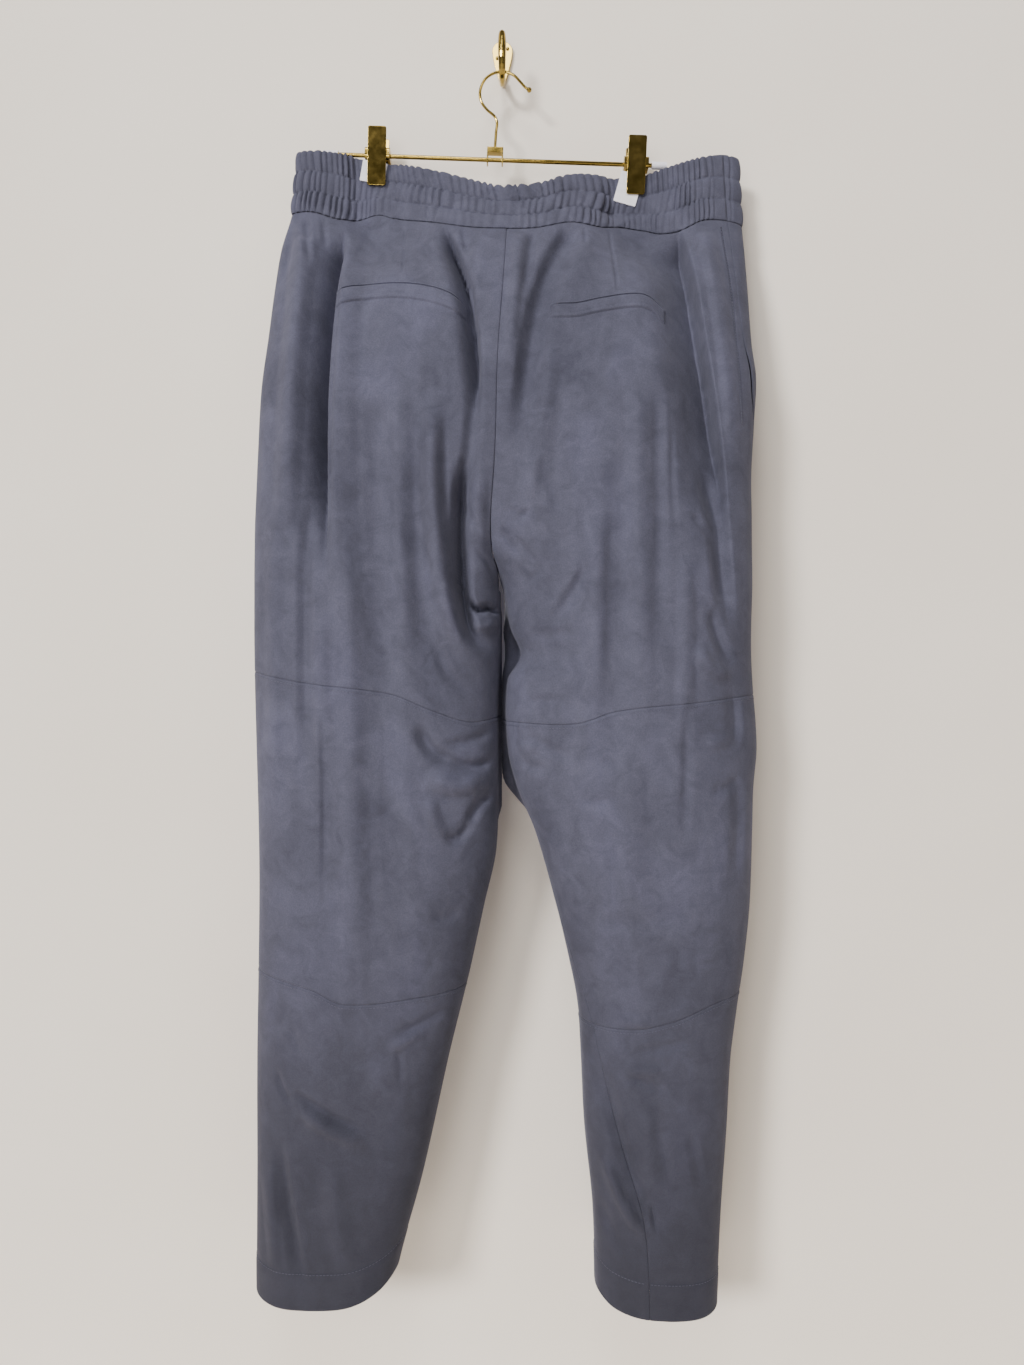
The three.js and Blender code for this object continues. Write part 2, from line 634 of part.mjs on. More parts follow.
// Solid for joining and cutting, from a closed geometry.
function solid(geometry) {
  const corners = new Map();
  const vertProperties = [];
  const triVerts = [];
  const source = geometry.index ? geometry.toNonIndexed() : geometry;
  const position = source.attributes.position;
  for (let i = 0; i < position.count; i += 1) {
    const place = [position.getX(i), position.getY(i), position.getZ(i)];
    const key = place.map((value) => Math.round(value * 1e4)).join();
    if (!corners.has(key)) {
      corners.set(key, corners.size);
      vertProperties.push(...place);
    }
    triVerts.push(corners.get(key));
  }
  const kept = [];
  for (let i = 0; i < triVerts.length; i += 3) {
    const [a, b, c] = triVerts.slice(i, i + 3);
    if (a !== b && b !== c && c !== a) kept.push(a, b, c);
  }
  const mesh = new wasm.Mesh({
    numProp: 3,
    vertProperties: Float32Array.from(vertProperties),
    triVerts: Uint32Array.from(kept),
  });
  return new wasm.Manifold(mesh);
}

function fromSolid(body) {
  const mesh = body.getMesh();
  const geometry = new THREE.BufferGeometry();
  geometry.setAttribute('position', new THREE.Float32BufferAttribute(Array.from(mesh.vertProperties), 3));
  geometry.setIndex(Array.from(mesh.triVerts));
  return geometry;
}

const material = (name) => new THREE.MeshStandardMaterial({ color: COLOURS[name], ...FINISH[name] });

function mesh(name, geometry, finish) {
  const piece = new THREE.Mesh(geometry, material(finish));
  piece.name = name;
  return piece;
}

function trousers() {
  const group = new THREE.Group();
  for (const half of ['left', 'right']) {
    for (const side of ['back', 'front']) {
      for (const tier of ['upper', 'middle', 'lower']) {
        group.add(mesh(`${half}_${side}_${tier}`, legPanel(half, side, tier), 'suede'));
      }
    }
    group.add(mesh(`${half}_back_welt`, welt(half), 'suede'));
  }
  group.add(mesh('waistband_back', waistband('back'), 'suede'));
  group.add(mesh('waistband_front', waistband('front'), 'suede'));
  return group;
}

function roundedPlate(width, height, corner) {
  const shape = new THREE.Shape();
  const x = width / 2;
  const z = height / 2;
  shape.absarc(x - corner, z - corner, corner, 0, Math.PI / 2);
  shape.absarc(corner - x, z - corner, corner, Math.PI / 2, Math.PI);
  shape.absarc(corner - x, corner - z, corner, Math.PI, 1.5 * Math.PI);
  shape.absarc(x - corner, corner - z, corner, 1.5 * Math.PI, 2 * Math.PI);
  return shape;
}

// A flat plate with rounded corners, thickness along Y from 0 towards -Y.
function plate(width, height, corner, depth) {
  const shape = roundedPlate(width, height, corner);
  const geometry = new THREE.ExtrudeGeometry(shape, { depth, bevelEnabled: false, curveSegments: 4 });
  return geometry.rotateX(Math.PI / 2);
}

// One spring clip in its own frame: the bar runs along X through the origin.
function clip(side) {
  const group = new THREE.Group();
  const pad = PADS[side];
  for (const [label, sign] of [['near', -1], ['far', 1]]) {
    const jaw = plate(CLIP.width, CLIP.height, CLIP.corner, CLIP.plate);
    jaw.translate(0, sign < 0 ? 0 : CLIP.plate, CLIP.height / 2);
    jaw.rotateX(-sign * CLIP.lean);
    jaw.translate(0, sign * CLIP.jaw, CLIP.above - CLIP.height);
    group.add(mesh(`clip_${side}_${label}_plate`, jaw, 'gold'));
    const card = plate(pad.width, pad.height, PAD.corner, PAD.thickness);
    card.translate(0, PAD.thickness / 2, 0);
    card.rotateY(pad.turn);
    card.translate(pad.x, sign * PAD.offset, pad.z);
    group.add(mesh(`pad_${side}_${label}`, card, 'pad'));
  }
  const block = roundedPlate(BLOCK.depth, BLOCK.height, BLOCK.corner);
  const bore = new THREE.Path();
  bore.absarc(0, 0, BAR_RADIUS + SEAM_GAP, 0, 2 * Math.PI);
  block.holes.push(bore);
  const depth = CLIP.width + 2 * BLOCK.past;
  const middle = new THREE.ExtrudeGeometry(block, { depth, bevelEnabled: false, curveSegments: 6 });
  middle.rotateY(Math.PI / 2);
  middle.rotateX(Math.PI / 2);
  middle.translate(-depth / 2, 0, 0);
  group.add(mesh(`clip_${side}_block`, middle, 'gold'));
  return group;
}

function hanger() {
  const group = new THREE.Group();
  const tilted = new THREE.Group();
  tilted.position.set(BAR_CENTRE.x, HANGER_Y, BAR_CENTRE.z);
  tilted.rotation.y = BAR_TILT;
  const bar = new THREE.CylinderGeometry(BAR_RADIUS, BAR_RADIUS, BAR_LENGTH, 16);
  bar.rotateZ(Math.PI / 2);
  tilted.add(mesh('hanger_bar', bar, 'gold'));
  for (const [label, sign] of [['left', -1], ['right', 1]]) {
    const bore = BAR_RADIUS + SEAM_GAP;
    const shell = [[0, CAP.length], [CAP.radius, CAP.length], [CAP.radius, 0]];
    const hollow = [[bore, 0], [bore, CAP.depth], [0, CAP.depth]];
    const profile = [...shell, ...hollow].map(([radius, height]) => new THREE.Vector2(radius, height));
    const cap = new THREE.LatheGeometry(profile.reverse(), 20);
    cap.rotateZ(-sign * Math.PI / 2);
    cap.translate(sign * (BAR_LENGTH / 2 - CAP.depth + SEAM_GAP), 0, 0);
    tilted.add(mesh(`bar_cap_${label}`, cap, 'pad'));
    const oneClip = clip(label);
    oneClip.position.x = (CLIP_X[label] - BAR_CENTRE.x) / Math.cos(BAR_TILT);
    tilted.add(oneClip);
  }
  tilted.add(mesh('neck_clip', neckClip(), 'gold'));
  group.add(tilted);
  const path = WIRE_PATH.map(({ x, z }) => new THREE.Vector3(x, HANGER_Y, z));
  const ball = new THREE.SphereGeometry(TIP_RADIUS, 10, 6);
  const tip = path[path.length - 1];
  ball.translate(tip.x, tip.y, tip.z);
  const hook = solid(wire(path, WIRE_RADIUS, 8, 56)).add(solid(ball));
  group.add(mesh('hook_wire', fromSolid(hook), 'gold'));
  return group;
}

// The neck clip straddles the bar: a block on top and two legs that the bar passes through.
function neckClip() {
  const middle = NECK.height / 2 - NECK.below;
  const body = new THREE.BoxGeometry(NECK.width, NECK.depth, NECK.height).translate(0, 0, middle);
  const space = new THREE.BoxGeometry(NECK.width - 2 * NECK.leg, NECK.depth + CUT_PAST, NECK.height);
  space.translate(0, 0, middle - NECK.block);
  const radius = BAR_RADIUS + SEAM_GAP;
  const bore = new THREE.CylinderGeometry(radius, radius, NECK.width + CUT_PAST, 16).rotateZ(Math.PI / 2);
  return fromSolid(solid(body).subtract(solid(space)).subtract(solid(bore)));
}

function wallHook() {
  const group = new THREE.Group();
  const outline = new THREE.Shape();
  const shoulder = PLATE.top - PLATE.radius;
  outline.absarc(0, shoulder, PLATE.radius, 0, Math.PI);
  outline.quadraticCurveTo(-PLATE.sideX, PLATE.sideZ, -PLATE.tipHalf, PLATE.tip);
  outline.lineTo(PLATE.tipHalf, PLATE.tip);
  outline.quadraticCurveTo(PLATE.sideX, PLATE.sideZ, PLATE.radius, shoulder);
  const depth = PLATE.thickness;
  const back = new THREE.ExtrudeGeometry(outline, { depth, bevelEnabled: false, curveSegments: 16 });
  group.add(mesh('wall_plate', back.rotateX(Math.PI / 2), 'gold'));
  const path = PRONG_PATH.map(({ y, z }) => new THREE.Vector3(0, y, z));
  const radii = PRONG_PATH.map(({ radius }) => radius);
  group.add(mesh('wall_prong', taperedTube(path, radii, PRONG_SIDES), 'gold'));
  const profile = [
    [0, 0], [SCREW.radius, 0], [SCREW.edgeRadius, SCREW.edgeRise], [0, SCREW.rise],
  ].map(([radius, height]) => new THREE.Vector2(radius, height));
  for (const { name, x, z } of SCREW_PLACES) {
    const head = new THREE.LatheGeometry(profile, 12).rotateX(Math.PI);
    head.translate(x, -PLATE.thickness - SEAM_GAP, z);
    group.add(mesh(`hook_screw_${name}`, head, 'gold'));
  }
  return group;
}

const part = new THREE.Group();
part.add(trousers(), hanger(), wallHook());
export default part;
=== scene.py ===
"""Blue-grey suede trousers hanging from a gold clip hanger on a small gold wall hook."""
import math

import bpy
import numpy as np
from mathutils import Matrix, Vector


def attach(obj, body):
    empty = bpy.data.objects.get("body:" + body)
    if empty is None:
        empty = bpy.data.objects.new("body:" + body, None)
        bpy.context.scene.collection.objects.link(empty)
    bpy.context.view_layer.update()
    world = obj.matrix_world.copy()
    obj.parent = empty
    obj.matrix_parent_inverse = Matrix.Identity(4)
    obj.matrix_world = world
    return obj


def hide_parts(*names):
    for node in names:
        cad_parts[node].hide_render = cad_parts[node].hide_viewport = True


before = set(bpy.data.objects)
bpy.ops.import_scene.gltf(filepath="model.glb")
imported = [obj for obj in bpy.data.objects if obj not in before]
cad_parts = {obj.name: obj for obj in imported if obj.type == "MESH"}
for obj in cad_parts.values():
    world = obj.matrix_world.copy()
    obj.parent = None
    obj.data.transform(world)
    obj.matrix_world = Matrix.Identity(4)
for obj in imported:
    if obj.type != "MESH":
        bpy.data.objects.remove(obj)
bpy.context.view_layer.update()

# Sizes below are in millimetres, in the frame of the part. Meshes are made in metres.
MM = 0.001
BODY = "root"

# The cloth: walls, how square its levels are, its mean girth round one half, and its seams.
SUEDE = 1.3
BAND_WALL = 2.2
WELT_WALL = 0.4
ROUNDNESS = 2.4
HALF_GIRTH = 520.0
PANEL_WIDTH = HALF_GIRTH / 2
SEAM_GAP = 0.08
SEAM_TURN = SEAM_GAP / 2 / HALF_GIRTH
SEAM_ROLL = {"reach": 1.7, "depth": 0.45}
HEM_TURN_UP = {"height": 30.0, "rise": 0.5, "groove": 0.5, "groove_width": 1.6}
HEM_EDGE = {"depth": 1.2, "reach": 2.2}

# The clips' places along the bar. Each presses the two layers together: firmly in its grip, as
# far as full to none from its middle, and softly over a reach. Both end between two heights.
HANGER_Y = -30.0
CLIP_X = {"left": -115.7, "right": 124.6}
PINCH = {"reach": 54.0, "none_z": -262.0, "full_z": -142.0}
GRIP = {"left": -119.0, "right": 118.0, "full": 14.0, "none": 40.0, "none_z": -204.0, "full_z": -158.0}
# Faint unevenness of the hanging suede, as (seed, across, down, rise).
RIPPLES = [(11, 40, 150, 1.3), (12, 17, 42, 0.4)]
FRONT_SHIFT = 900.0
RIPPLE_BEGINS = (-150.0, -230.0)
# Shares of the half depth over which folds and the clips' pinch set in beside the outer edges.
FLANK = {"folds": (0.05, 0.55), "pinch": (0, 0.3)}
LAYERS_APART = 1.0

# The elastic casing: channels, gathers (spacing, rise, lean and depth by channel) and plain end.
BAND_CHANNELS = 3
BAND_MIDDLE = -150.0
BAND_START = -140.0
BAND_ROWS = 66
BAND_COLUMNS = {"back": 470, "front": 300}
PLAIN_END = {"from": 190.0, "to": 198.0, "seam": 211.0}
GATHER = {"middle": 7.4, "sides": 5.2, "rise": 4.2, "lean": (-2.4, 2.6, 0.8), "deep": (1.0, 1.0, 0.9)}
GATHER_SHAPE = {"crest": 0.75, "usual": 0.7, "end_groove": 0.3, "groove_width": 1.1}
# Unevenness of the gathers in each channel, as (seed, step along the band, size).
GATHER_UNEVENNESS = {
    "sway": (21, 19, 0.5), "shiver": (22, 8, 0.3), "lean": (23, 30, 2.5), "strength": (24, 13, 0.6),
}
CHANNEL_SHIFT = 40.0
CHANNEL_RISE = 2.0
CHANNEL_FULLNESS = 0.55

# How finely the sheets are divided.
PANEL_COLUMNS = {"back": 176, "front": 56}
ROW_STEP = {"back": 3.0, "front": 5.0}
HALF_MIDDLE = {"left": -110.0, "right": 110.0}
SETTLE_ROUNDS = 6
EDGE_STEPS = (0.0, 0.5, 1.1, 1.9, 2.8, 4.0)

STAGE = {"wall": 1.0, "floor": -1300.0, "reach": 3000.0, "front": -4000.0, "top": 1500.0}
LAMP_WHITE = "#FFFCF8"
CAMERA = {"x": 9.2, "y": -950.0, "z": -598.0, "lens": 26.0}

# Level sections of each half, as (z, outer, inner, near, far, split): x of the outer and inner
# edges, y of the faces near to and far from the room, and how far the leg is closed, 0 to 1.
LEVELS = {
    "left": [
        (-95, -190, 5, -42, -20, 0),
        (-157, -194, 5, -50, -15, 0.02),
        (-200, -203, 4, -70, -11, 0.05),
        (-240, -207, 2, -88, -8, 0.12),
        (-286, -211, -1, -101, -7, 0.22),
        (-335, -216, -4, -111, -6, 0.34),
        (-393, -218, -5, -118, -6, 0.48),
        (-430, -219, -7, -121, -6, 0.62),
        (-462, -220, -9, -122, -6, 0.77),
        (-484, -220, -8, -123, -6, 0.89),
        (-500, -220, -3, -124, -6, 0.97),
        (-515, -220, -1, -124, -6, 1),
        (-560, -220, -1, -124, -6, 1),
        (-614, -219, -3, -124, -7, 1),
        (-690, -217, -3, -123, -7, 1),
        (-749, -216, -5, -121, -7, 1),
        (-794, -216, -15, -119, -8, 1),
        (-858, -217, -29, -116, -10, 1),
        (-931, -218, -47, -113, -14, 1),
        (-1034, -217, -70, -112, -24, 1),
        (-1106, -216, -90, -115, -32, 1),
        (-1140, -215, -96, -117, -36, 1),
    ],
    "right": [
        (-95, 219, 5, -42, -20, 0),
        (-171, 222, 5, -55, -14, 0.03),
        (-200, 223, 4, -70, -11, 0.05),
        (-240, 224, 2, -88, -8, 0.12),
        (-295, 226, -2, -103, -7, 0.24),
        (-325, 229, -3, -110, -6, 0.32),
        (-369, 226, -4, -116, -6, 0.42),
        (-415, 223, -6, -120, -6, 0.56),
        (-451, 223, -9, -122, -6, 0.72),
        (-484, 223, -8, -123, -6, 0.89),
        (-500, 223, -3, -124, -6, 0.97),
        (-515, 223, 1, -124, -6, 1),
        (-550, 222, 8, -124, -6, 1),
        (-574, 222, 17, -124, -6, 1),
        (-596, 223, 5, -124, -7, 1),
        (-654, 227, 5, -123, -7, 1),
        (-692, 224, 14, -122, -7, 1),
        (-731, 223, 30, -121, -7, 1),
        (-794, 221, 48, -118, -8, 1),
        (-844, 216, 60, -115, -10, 1),
        (-885, 210, 68, -113, -12, 1),
        (-931, 204, 71, -112, -15, 1),
        (-994, 200, 74, -111, -20, 1),
        (-1064, 194, 81, -113, -28, 1),
        (-1145, 189, 83, -117, -36, 1),
    ],
}

# The halves share one centre seam above the first height, and the legs part below the second.
CROTCH = {"shared": -500.0, "parted": -515.0}

# Heights of the waistband's edges, the cross seams and the hem, as (x, z).
BAND_TOP = [
    (-200, -107), (-186, -105), (-150, -108), (-116, -114.5), (-90, -119), (-45, -132), (0, -143.5),
    (35, -141), (63, -132), (90, -130), (124, -128), (150, -122), (185, -113), (205, -109.5), (228, -112),
]
BAND_SEAM = [
    (-200, -164), (-175, -165), (-152, -172), (-134, -170), (-114, -163.5), (-93, -171.5), (-66, -180),
    (-30, -188.5), (0, -190.5), (30, -189), (62, -181), (90, -182.5), (110, -178.5), (131, -181),
    (145, -186), (165, -184.5), (183, -175.5), (205, -174), (228, -177),
]
THIGH_SEAM = {
    "left": [(-220, -588), (-169, -598), (-93, -608), (-60, -621), (-26, -632), (0, -628)],
    "right": [(0, -632), (62, -633), (100, -622), (167, -615), (228, -608)],
}
KNEE_SEAM = {
    "left": [(-220, -848), (-162, -859), (-134, -871), (-69, -867), (-20, -863)],
    "right": [(60, -894), (114, -894), (145, -887), (184, -873), (220, -868)],
}
HEM = {
    "left": [(-220, -1129), (-190, -1131), (-135, -1129), (-105, -1121), (-88, -1109)],
    "right": [(80, -1127), (96, -1134), (140, -1139), (192, -1142)],
}
# Where the side seam and the inseam lie round each half, as (z, turn): 0 is the back centre or
# the inseam, 0.5 the outer edge and 1 the front centre.
SIDE_SEAM = {
    "left": [(-1150, 0.5), (-100, 0.5)],
    "right": [
        (-1150, 0.5), (-600, 0.5), (-450, 0.49), (-372, 0.455), (-340, 0.41), (-240, 0.375), (-100, 0.37),
    ],
}
INSEAM = {
    "left": [(-1150, 0), (-100, 0)],
    "right": [
        (-1150, 0.23), (-1060, 0.216), (-1000, 0.175), (-900, 0.1), (-850, 0.06), (-760, 0), (-100, 0),
    ],
}
# How far the legs' fronts lean on each other below the crotch, as (z, x), and the shares of the
# half depth and of the half width over which the lean sets in.
FRONT_LEANS = {"far": (0.08, 0.42), "inner": (0.2, 0.8)}
LEAN_IN = {
    "left": [(-1150, 0), (-735, 0), (-705, 9), (-600, 9), (-545, 7), (-530, 3), (-515, 0), (-100, 0)],
    "right": [
        (-1150, 0), (-725, 0), (-705, 9), (-688, 16), (-654, 10), (-596, 10), (-574, 20), (-556, 14),
        (-540, 8), (-520, 3), (-505, 0), (-100, 0),
    ],
}
# The topstitching and the open mouth of the right side pocket.
POCKET_STITCHES = [(-372, 209), (-328, 208), (-250, 204.5), (-182, 200)]
POCKET_MOUTH = {"top": -292, "bottom": -372, "open": 0.011, "ease": 25}

# Folds of the back, each along a smooth path of (x, z) places from its upper end. rise is out of
# the cloth, a negative rise is a trough, left and right are its reaches to either side as seen
# from the room, and crisp is how sharply it is creased, from 0 to 1.
FOLD_COLUMNS = ("path", "rise", "left", "right", "crisp")
BACK_FOLDS = [
    # Left hip: the side roll, the deep trough where the seat's edge stands over it, and puckers
    (((-143, -182), (-146, -215), (-151, -320), (-151, -405), (-147, -520)), -38, 34, 5, 0.85),
    (((-178, -186), (-183, -320), (-186, -520)), 6, 14, 15, 0),
    (((-137, -184), (-139, -300), (-140, -420), (-138, -560)), 5, 5, 20, 0),
    (((-194, -172), (-194, -196), (-197, -250)), -3, 7, 7, 0.2),
    (((-181, -168), (-177, -192), (-172, -228)), -4, 6, 6, 0.3),
    (((-166, -170), (-162, -186), (-160, -206)), -3, 5, 5, 0.3),
    (((-122, -170), (-124, -190), (-130, -220)), -2, 6, 8, 0),
    (((-92, -174), (-91, -196), (-88, -214)), -1.6, 5, 6, 0.2),
    (((-88, -178), (-88, -208), (-87, -246)), -3.0, 2.6, 2.4, 0.8),
    (((-78, -196), (-68, -212), (-54, -234)), -3, 8, 7, 0.2),
    (((-104, -168), (-106, -186), (-112, -210)), 2, 8, 8, 0),
    # Left seat and thigh: wide soft folds, then the round fold that swings under the crotch
    (((-116, -330), (-112, -450), (-112, -600), (-106, -760)), -3, 15, 18, 0),
    (((-104, -340), (-100, -470), (-96, -600), (-89, -740), (-76, -850)), -4.5, 15, 16, 0),
    (((-87, -330), (-83, -450), (-79, -590)), 3.5, 13, 13, 0),
    (((-76, -390), (-74, -450), (-67, -520), (-58, -574), (-38, -604)), -5, 17, 10, 0),
    (((-58, -350), (-58, -425), (-54, -475), (-48, -520), (-39, -552), (-27, -573), (-12, -584), (3, -583)),
     12, 13, 12, 0),
    (((-58, -552), (-46, -590), (-22, -612)), -3.5, 8, 8, 0.2),
    (((-54, -184), (-45, -204), (-31, -243), (-23, -290), (-20, -335), (-22, -380)), -36, 19, 5, 0.85),
    (((-37, -186), (-33, -200), (-30, -222)), -4, 5, 5, 0.3),
    (((-22, -330), (-25, -380), (-30, -430), (-34, -470)), -6, 9, 11, 0.2),
    (((-31, -400), (-34, -440), (-35, -490), (-33, -526), (-26, -556), (-10, -567), (2, -566)),
     -27, 10, 11, 0.6),
    (((-18, -410), (-18, -470), (-13, -522)), 3, 9, 9, 0),
    (((-33, -440), (-24, -462), (-14, -474)), -3, 5, 6, 0.3),
    (((-24, -484), (-14, -492), (-4, -508)), -2.5, 5, 5, 0.4),
    (((-29, -527), (-20, -535), (-12, -533), (3, -537)), -27, 6, 4, 0.8),
    (((-26, -546), (-14, -550), (0, -546)), 6, 7, 7, 0),
    (((-163, -430), (-166, -540), (-164, -690)), -5, 9, 9, 0.2),
    (((-152, -520), (-151, -600), (-150, -700)), 3, 9, 12, 0),
    (((-151, -600), (-149, -690), (-150, -800)), -3, 5, 9, 0.2),
    (((-196, -430), (-194, -560), (-196, -720)), 3, 12, 12, 0),
    (((-128, -480), (-126, -640), (-124, -900)), 5, 18, 20, 0),
    # Left inner thigh: short folds pressed out by the other leg
    (((-72, -632), (-58, -656), (-34, -668)), -8, 9, 9, 0.3),
    (((-48, -664), (-26, -670), (-2, -664)), -7, 8, 7, 0.35),
    (((-52, -650), (-30, -649), (-2, -638)), -4, 7, 7, 0.3),
    (((-66, -676), (-36, -686), (-4, -680)), 7, 12, 12, 0),
    (((-4, -692), (-20, -704), (-30, -724)), -7, 8, 8, 0.3),
    (((-26, -718), (-36, -730), (-50, -731)), -5, 7, 8, 0.3),
    (((-62, -694), (-54, -720), (-42, -728)), 4, 9, 9, 0),
    (((-34, -790), (-48, -800), (-62, -796)), -2, 8, 8, 0.2),
    # Left knee and calf
    (((-194, -930), (-187, -948), (-177, -962)), -3.5, 6, 6, 0.4),
    (((-184, -944), (-160, -958), (-136, -972), (-110, -980)), -4.5, 9, 7, 0.5),
    (((-178, -958), (-150, -976), (-112, -994)), 4, 9, 10, 0),
    (((-94, -902), (-72, -892), (-42, -878)), -3.5, 7, 8, 0.4),
    (((-96, -914), (-80, -902), (-62, -898)), 2.5, 8, 8, 0),
    (((-88, -906), (-87, -924), (-86, -944)), -1.5, 5, 6, 0.3),
    (((-191, -985), (-182, -1050), (-166, -1116)), -6, 12, 8, 0.3),
    (((-204, -1010), (-198, -1060), (-192, -1110)), 3, 9, 9, 0),
    (((-180, -890), (-176, -902), (-168, -916)), -2, 7, 7, 0.2),
    (((-150, -1000), (-140, -1050), (-128, -1110)), 2.5, 14, 16, 0),
    # Right seat
    (((16, -194), (12, -250), (6, -340)), 4, 9, 8, 0),
    (((28, -192), (25, -224), (20, -266)), -5, 7, 6, 0.4),
    (((66, -186), (48, -222), (35, -258), (27, -300), (20, -350), (14, -410)), -11, 13, 19, 0.1),
    (((40, -300), (36, -370), (30, -430)), 3.5, 12, 14, 0),
    (((75, -184), (75, -194), (75, -208)), -3, 3, 3, 0.5),
    (((98, -182), (100, -220), (101, -264)), -3.0, 2.4, 2.6, 0.8),
    (((104, -182), (106, -200), (110, -226)), 1.4, 6, 7, 0),
    (((30, -400), (26, -426), (28, -446)), 3, 10, 9, 0),
    (((2, -450), (14, -454), (28, -455)), -3, 4, 4, 0.6),
    (((-2, -464), (10, -482), (20, -492)), -5, 5, 5, 0.5),
    (((6, -470), (22, -486), (32, -504)), -3.5, 5, 5, 0.4),
    (((2, -460), (14, -459), (28, -450)), -2.4, 4, 5, 0.5),
    (((12, -500), (24, -510), (38, -498)), -2, 6, 6, 0.3),
    (((36, -416), (44, -440), (52, -458)), -2, 6, 7, 0.2),
    (((76, -492), (64, -518), (42, -550)), -5, 9, 9, 0.15),
    (((82, -440), (78, -520), (80, -620)), 4, 12, 14, 0),
    (((20, -552), (40, -558), (66, -554)), -2.5, 8, 8, 0.2),
    (((100, -380), (99, -480), (95, -600), (90, -700)), -3.4, 16, 14, 0),
    (((116, -330), (116, -460), (119, -640)), 4.5, 12, 14, 0),
    (((134, -330), (134, -440), (134, -560)), -2.5, 8, 8, 0),
    (((146, -370), (145, -430), (148, -480)), -1.8, 6, 5, 0.3),
    (((156, -480), (156, -560), (154, -660)), 3, 10, 10, 0),
    (((156, -600), (156, -660), (154, -740)), -2.5, 7, 8, 0.2),
    # Right side: the valley below the clip, and the pocket strip that stands up beside it
    (((160, -178), (168, -240), (174, -300), (183, -370), (189, -430), (191, -480)), -35, 48, 5, 0.45),
    (((183, -184), (190, -260), (196, -340), (203, -430)), 4, 9, 14, 0),
    (((200, -182), (204.5, -250), (208, -328), (209, -366)), -1.0, 1.6, 1.6, 0.7),
    (((170, -400), (184, -450), (189, -500), (194, -560)), -11, 15, 11, 0.2),
    (((176, -530), (186, -562), (200, -586)), -6, 10, 8, 0.3),
    (((164, -566), (178, -586), (200, -594)), 6, 11, 9, 0),
    (((160, -456), (170, -464), (178, -476)), -3, 5, 5, 0.5),
    (((196, -602), (201, -630), (197, -660)), -5, 12, 9, 0.3),
    (((170, -650), (186, -648), (206, -640)), 2.5, 9, 9, 0),
    (((176, -690), (190, -688), (206, -680)), -2.5, 8, 8, 0.3),
    (((200, -660), (203, -710), (200, -780)), -3, 10, 9, 0.2),
    # Right thigh, knee and calf
    (((18, -618), (32, -614), (54, -612)), -3, 7, 7, 0.4),
    (((16, -640), (34, -650), (62, -664)), -3.5, 8, 8, 0.3),
    (((14, -664), (26, -670), (42, -672)), -3, 7, 7, 0.4),
    (((10, -652), (24, -654), (40, -650)), 2.5, 7, 7, 0),
    (((86, -660), (94, -666), (102, -664)), -2, 7, 7, 0.3),
    (((60, -694), (80, -700), (100, -694)), -1.6, 9, 9, 0.2),
    (((44, -720), (52, -760), (66, -800)), 2, 12, 14, 0),
    (((104, -640), (108, -740), (122, -850)), 3, 20, 22, 0),
    (((70, -798), (110, -802), (160, -792)), -1.6, 12, 12, 0.1),
    (((96, -884), (112, -888), (132, -886)), 2, 7, 8, 0),
    (((112, -914), (140, -908), (164, -902)), -2.4, 7, 7, 0.3),
    (((106, -930), (124, -928), (142, -932)), 2.5, 8, 8, 0),
    (((100, -938), (118, -938), (140, -946)), -2.4, 6, 7, 0.4),
    (((118, -944), (124, -990), (132, -1040)), 3, 13, 14, 0),
    (((86, -920), (98, -975), (112, -1020), (130, -1062)), -8, 12, 9, 0.25),
    (((86, -1000), (100, -1036), (124, -1074)), 8, 8, 7, 0),
    (((84, -1044), (94, -1066), (106, -1086)), -3, 8, 8, 0.2),
    (((128, -1040), (130, -1054), (132, -1066)), -3, 5, 5, 0.5),
    (((160, -980), (166, -1004), (172, -1036)), -2, 8, 8, 0.1),
]
# The hidden front hangs close to the wall, so its folds are softer and fewer.
FRONT_FOLDS = [
    (((-160, -190), (-158, -320), (-150, -480)), -7, 13, 16, 0.1),
    (((-112, -186), (-106, -240), (-98, -310)), -4, 10, 10, 0.1),
    (((-60, -194), (-48, -330), (-30, -480)), -6, 15, 14, 0.1),
    (((-84, -300), (-80, -420), (-70, -560)), 4, 18, 18, 0),
    (((-14, -440), (-30, -470), (-52, -492)), -4, 9, 9, 0.3),
    (((-12, -470), (-24, -500), (-40, -534)), -4, 9, 9, 0.3),
    (((66, -194), (50, -330), (28, -480)), -6, 15, 15, 0.1),
    (((118, -190), (112, -250), (104, -330)), -4, 10, 11, 0.1),
    (((14, -446), (32, -474), (54, -500)), -4, 9, 9, 0.3),
    (((12, -476), (22, -508), (36, -540)), -4, 9, 9, 0.3),
    (((165, -190), (170, -340), (176, -500)), -6, 15, 16, 0.1),
    (((-105, -520), (-104, -700), (-110, -880)), -5, 18, 18, 0),
    (((-150, -560), (-152, -700), (-148, -840)), 3, 16, 16, 0),
    (((110, -500), (112, -690), (120, -860)), -5, 18, 18, 0),
    (((160, -560), (158, -700), (152, -840)), 3, 16, 16, 0),
    (((-180, -900), (-140, -884), (-90, -892)), -3, 9, 9, 0.3),
    (((-176, -918), (-136, -906), (-96, -912)), 2.5, 9, 9, 0),
    (((90, -906), (130, -900), (176, -912)), -3, 9, 9, 0.3),
    (((96, -924), (132, -918), (168, -928)), 2.5, 9, 9, 0),
]
# How folds die out at their ends: longest head, head of a fold that starts at the waistband, and
# the share of its length that each end may take.
FADE = {
    "head": 50.0, "at_band": 9.0, "per_rise": 0.9, "band_z": -200.0,
    "head_share": 0.3, "tail_share": 0.35,
}

